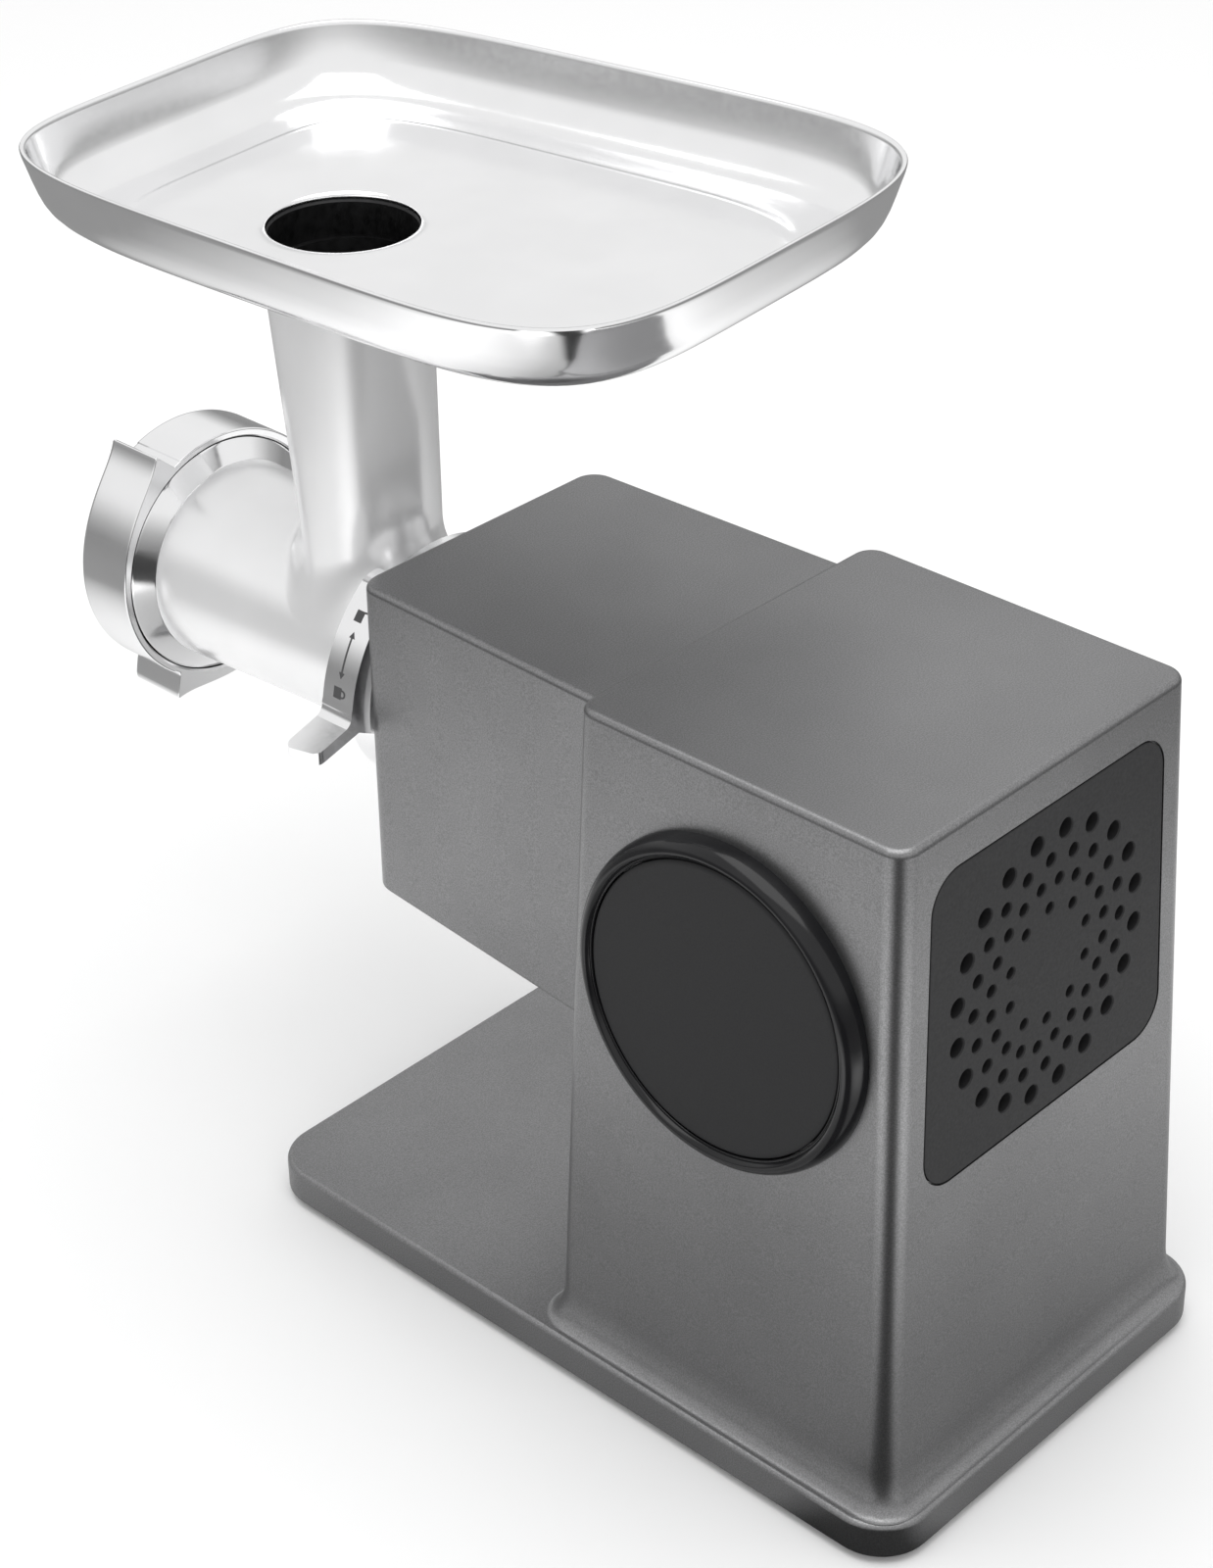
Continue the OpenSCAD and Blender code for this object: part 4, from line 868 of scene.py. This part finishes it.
def tray_plan(inset, count=288):
    """Plan of the tray: bowed sides, wider and squarer at the rear, inset all round."""
    half_w, half_l = TRAY_W / 2 - inset, TRAY_L / 2 - inset
    points = []
    for i in range(1440):
        t = math.radians(i / 4)
        c, s = math.cos(t), math.sin(t)
        power = 2 / (TRAY_SQUARE - TRAY_SQUARE_CHANGE * s)
        y = half_l * math.copysign(abs(s) ** power, s)
        x = half_w * math.copysign(abs(c) ** power, c) * (1 + TRAY_TAPER * 2 * y / TRAY_L)
        points.append((TRAY_X + x * math.cos(TRAY_TURN) - y * math.sin(TRAY_TURN),
                       TUBE_Y + TRAY_BACK + x * math.sin(TRAY_TURN) + y * math.cos(TRAY_TURN)))
    return even(points, count)


def tray_section():
    """The pan's wall as (inset, height above the underside), from below over the rim and in."""
    outside = [(30, 0), (26, 0.05), (22.5, 0.35), (19.5, 0.85), (16.5, 1.7), (13.5, 2.95), (11, 4.35),
               (9, 6.0), (7.2, 8.1), (5.8, 10.6), (4.5, 14), (3.3, 18), (2.1, 22.5), (1.0, 26.5)]
    rim = [(0.75, 27.8), (0.7, 28.4), (0.95, 28.85), (1.5, 29), (2.1, 28.85), (2.5, 28.4)]
    inside = [(2.8, 27.2), (3.6, 23.5), (4.8, 19), (6.0, 15), (7.1, 12), (8.3, 9.7), (9.9, 7.5), (11.7, 5.8),
              (14, 4.3), (16.6, 3.15), (19.5, 2.35), (22.5, 1.95), (26, 1.85)]
    step = [(28.5, 1.95), (30.2, 2.3), (31.8, 2.85), (33.4, 3.35), (35.2, 3.6), (38, 3.65)]
    return outside + rim + inside + step


def circle_like(ring, radius, z):
    """A circle round the feed tube's axis, each point in the direction of the ring's own."""
    out = []
    for point in ring:
        d = Vector((point.x, point.y - TUBE_Y)).normalized()
        out.append(Vector((d.x * radius, TUBE_Y + d.y * radius, z)))
    return out


def feed_tray():
    low, foot = TRAY_FLOOR, TRAY_FLOOR - TRAY_COLLAR_L
    floor, collar_r = low + TRAY_WALL, TRAY_SEAT_R + TRAY_COLLAR_WALL
    rings = [[Vector((p.x, p.y, low + h)) for p in tray_plan(inset)] for inset, h in tray_section()]
    last, first = rings[-1], rings[0]
    far = circle_like(last, TRAY_HOLE_R + 6, floor + 1.2)
    rings += [[a.lerp(b, share) for a, b in zip(last, far)] for share in (0.35, 0.7)]
    hole = ((6, 1.2), (3.5, 1.0), (1.6, 0.55), (0.5, 0.0), (0.05, -0.6), (0, -TRAY_WALL))
    rings += [circle_like(last, TRAY_HOLE_R + out, floor + h) for out, h in hole]
    collar = ((TRAY_SEAT_R, low), (TRAY_SEAT_R, foot + 0.5), (TRAY_SEAT_R + 0.4, foot),
              (collar_r - 0.4, foot), (collar_r, foot + 0.5), (collar_r, low - 2),
              (collar_r + 0.6, low - 0.6), (collar_r + 2, low))
    rings += [circle_like(last, radius, z) for radius, z in collar]
    rings.append([a.lerp(b, 0.5) for a, b in zip(rings[-1], first)])
    tray = loft("feed_tray_skin", rings, ["polished_aluminium"], True)
    return finish_piece(tray, "tray", "polished_aluminium", "feed_tray", angle=40)


# ---------------------------------------------------------------- carried-over CAD nodes


def dress_cad_nodes():
    """Materials, softened edges and shading for the nodes whose CAD shape stays."""
    special = {"mounting_collar": "satin_barrel", "auger": "satin_metal", "selector_knob": "satin_metal"}
    slot_of = {p["node"]: p["material_slot"] for p in frame["record"]["subparts"]}
    soft = {"feet": 0.8, "selector_knob": 1.2, "inlet_gland": 0.5, "mounting_collar": 0.6,
            "control_panel": 0.4, "hole_plate": 0.25, "knob_mark": 0.05, "collar_screws": 0.25,
            "bottom_screws": 0.25, "bottom_plate": 0.3}
    for name, obj in frame["nodes"].items():
        if obj.hide_render:
            continue
        material = MATERIALS[special.get(name, slot_of[name])]
        if not obj.material_slots:
            obj.data.materials.append(material)
        for slot in obj.material_slots:
            slot.link = "OBJECT"
            slot.material = material
        if name in soft:
            bevel(obj, soft[name], 35, 3)
        normals = obj.modifiers.new("normals", "WEIGHTED_NORMAL")
        normals.keep_sharp = True


# ---------------------------------------------------------------- floor, light and camera

CAMERA_AT = Vector((0.70026, 0.60820, 0.77805))
CAMERA_AZIMUTH = math.radians(133.5596)
CAMERA_ELEVATION = math.radians(30.777)
CAMERA_ROLL = math.radians(-0.8171)


def make_camera():
    data = bpy.data.cameras.new("camera")
    data.lens, data.sensor_width = 74.505, 36.0
    data.shift_x, data.shift_y = 0.0024, -0.0411
    data.clip_start, data.clip_end = 0.05, 20.0
    cam = bpy.data.objects.new("camera", data)
    bpy.context.scene.collection.objects.link(cam)
    a, e = CAMERA_AZIMUTH, CAMERA_ELEVATION
    back = Vector((math.sin(a) * math.cos(e), -math.cos(a) * math.cos(e), math.sin(e)))
    right = Vector((0, 0, 1)).cross(back).normalized()
    up = back.cross(right)
    c, s = math.cos(CAMERA_ROLL), math.sin(CAMERA_ROLL)
    turn = Matrix((right * c + up * s, up * c - right * s, back)).transposed()
    cam.matrix_world = Matrix.Translation(CAMERA_AT) @ turn.to_4x4()
    bpy.context.scene.camera = cam


def make_floor():
    """White table that glossy rays see with painted shade and two painted highlights; other rays see plain
    white.
    """
    half = 6.0
    mesh = bpy.data.meshes.new("floor")
    corners = [(-half, -half, 0), (half, -half, 0), (half, half, 0), (-half, half, 0)]
    mesh.from_pydata(corners, [], [(0, 1, 2, 3)])
    floor = bpy.data.objects.new("floor", mesh)
    bpy.context.scene.collection.objects.link(floor)
    n = Nodes("floor")
    n.set(Roughness=0.9)
    place = n.add("TexCoord").outputs["Object"]
    # painted shade in reflections: darker from 0.45 m out, standing in for the table's end, and darker near
    # the tower
    edge = n.falloff(place, (0.08, 0.05, 0), (0.45, 0.7), (1, 0.25))
    near_painted_shade = n.falloff(place, (0.03, 0.07, 0), (0.15, 0.38), (0.5, 1))
    # painted shade: a dark wedge towards the camera, standing in for the darker room there
    reflected_painted_shade = n.product(n.product(edge, near_painted_shade), n.sector(place, (0.02, 0.07), 43.5, (13, 24), (0.02, 1)))
    # painted highlights: two patches beside the tower that glow for glossy rays only
    painted_highlights = n.add("Math", operation="ADD")
    n.join(n.falloff(place, (0.40, 0.10, 0), (0.05, 0.16), (1, 0)), painted_highlights.inputs[0])
    n.join(n.falloff(place, (0.06, 0.44, 0), (0.05, 0.16), (1, 0)), painted_highlights.inputs[1])
    glossy = n.add("LightPath").outputs["Is Glossy Ray"]
    n.join(n.product(painted_highlights.outputs["Value"], glossy), n.shader.inputs["Emission Strength"])
    n.set(Emission_Color=(1, 1, 1, 1))
    seen = n.add("Mix", data_type="FLOAT")
    n.join(glossy, seen.inputs["Factor"])
    seen.inputs["A"].default_value = 0.97
    n.join(reflected_painted_shade, seen.inputs["B"])
    n.join(seen.outputs["Result"], n.shader.inputs["Base Color"])
    mesh.materials.append(n.material)


def area_light(name, at, target, width, height, energy):
    data = bpy.data.lights.new(name, "AREA")
    data.shape, data.size, data.size_y, data.energy = "RECTANGLE", width, height, energy
    light = bpy.data.objects.new(name, data)
    light.location = at
    light.rotation_mode = "QUATERNION"
    light.rotation_quaternion = (Vector(target) - Vector(at)).to_track_quat("-Z", "Y")
    bpy.context.scene.collection.objects.link(light)


def make_lights():
    bpy.context.scene.view_settings.view_transform = "Standard"
    world = bpy.data.worlds.new("studio")
    bpy.context.scene.world = world
    world.use_nodes = True
    tree = world.node_tree
    nodes = {kind: tree.nodes.new("ShaderNode" + kind)
             for kind in ("TexCoord", "SeparateXYZ", "ValToRGB", "LightPath", "Mix")}
    tree.links.new(nodes["TexCoord"].outputs["Generated"], nodes["SeparateXYZ"].inputs["Vector"])
    tree.links.new(nodes["SeparateXYZ"].outputs["Z"], nodes["ValToRGB"].inputs["Fac"])
    elements = nodes["ValToRGB"].color_ramp.elements
    elements.new(0.13)
    for element, (at, grey) in zip(elements, [(0.0, 0.3), (0.13, 0.5), (0.3, 1.0)]):
        element.position = at
        element.color = (grey, grey, grey, 1)
    mix = nodes["Mix"]
    mix.data_type = "RGBA"
    tree.links.new(nodes["LightPath"].outputs["Is Glossy Ray"], mix.inputs["Factor"])
    mix.inputs["A"].default_value = (1, 1, 1, 1)
    tree.links.new(nodes["ValToRGB"].outputs["Color"], mix.inputs["B"])
    background = tree.nodes["Background"]
    tree.links.new(mix.outputs["Result"], background.inputs["Color"])
    background.inputs["Strength"].default_value = 0.9
    area_light("top", (0.1, 0.0, 1.6), (0, -0.1, 0.2), 1.4, 1.4, 10)


# ---------------------------------------------------------------- the whole object

make_camera()
make_floor()
make_lights()
body_shell()
gear_housing()
vent_panel()
bezel("side_bezel_ring", 1, "side_bezel")
bezel("control_bezel_ring", -1, "control_bezel")
cover("side_cover_disc", 1, "side_cover")
cover("control_panel_disc", -1, "control_panel", 4.1)
head_casting()
locking_ring()
strap_marks()
screw_ring()
feed_tray()
dress_cad_nodes()
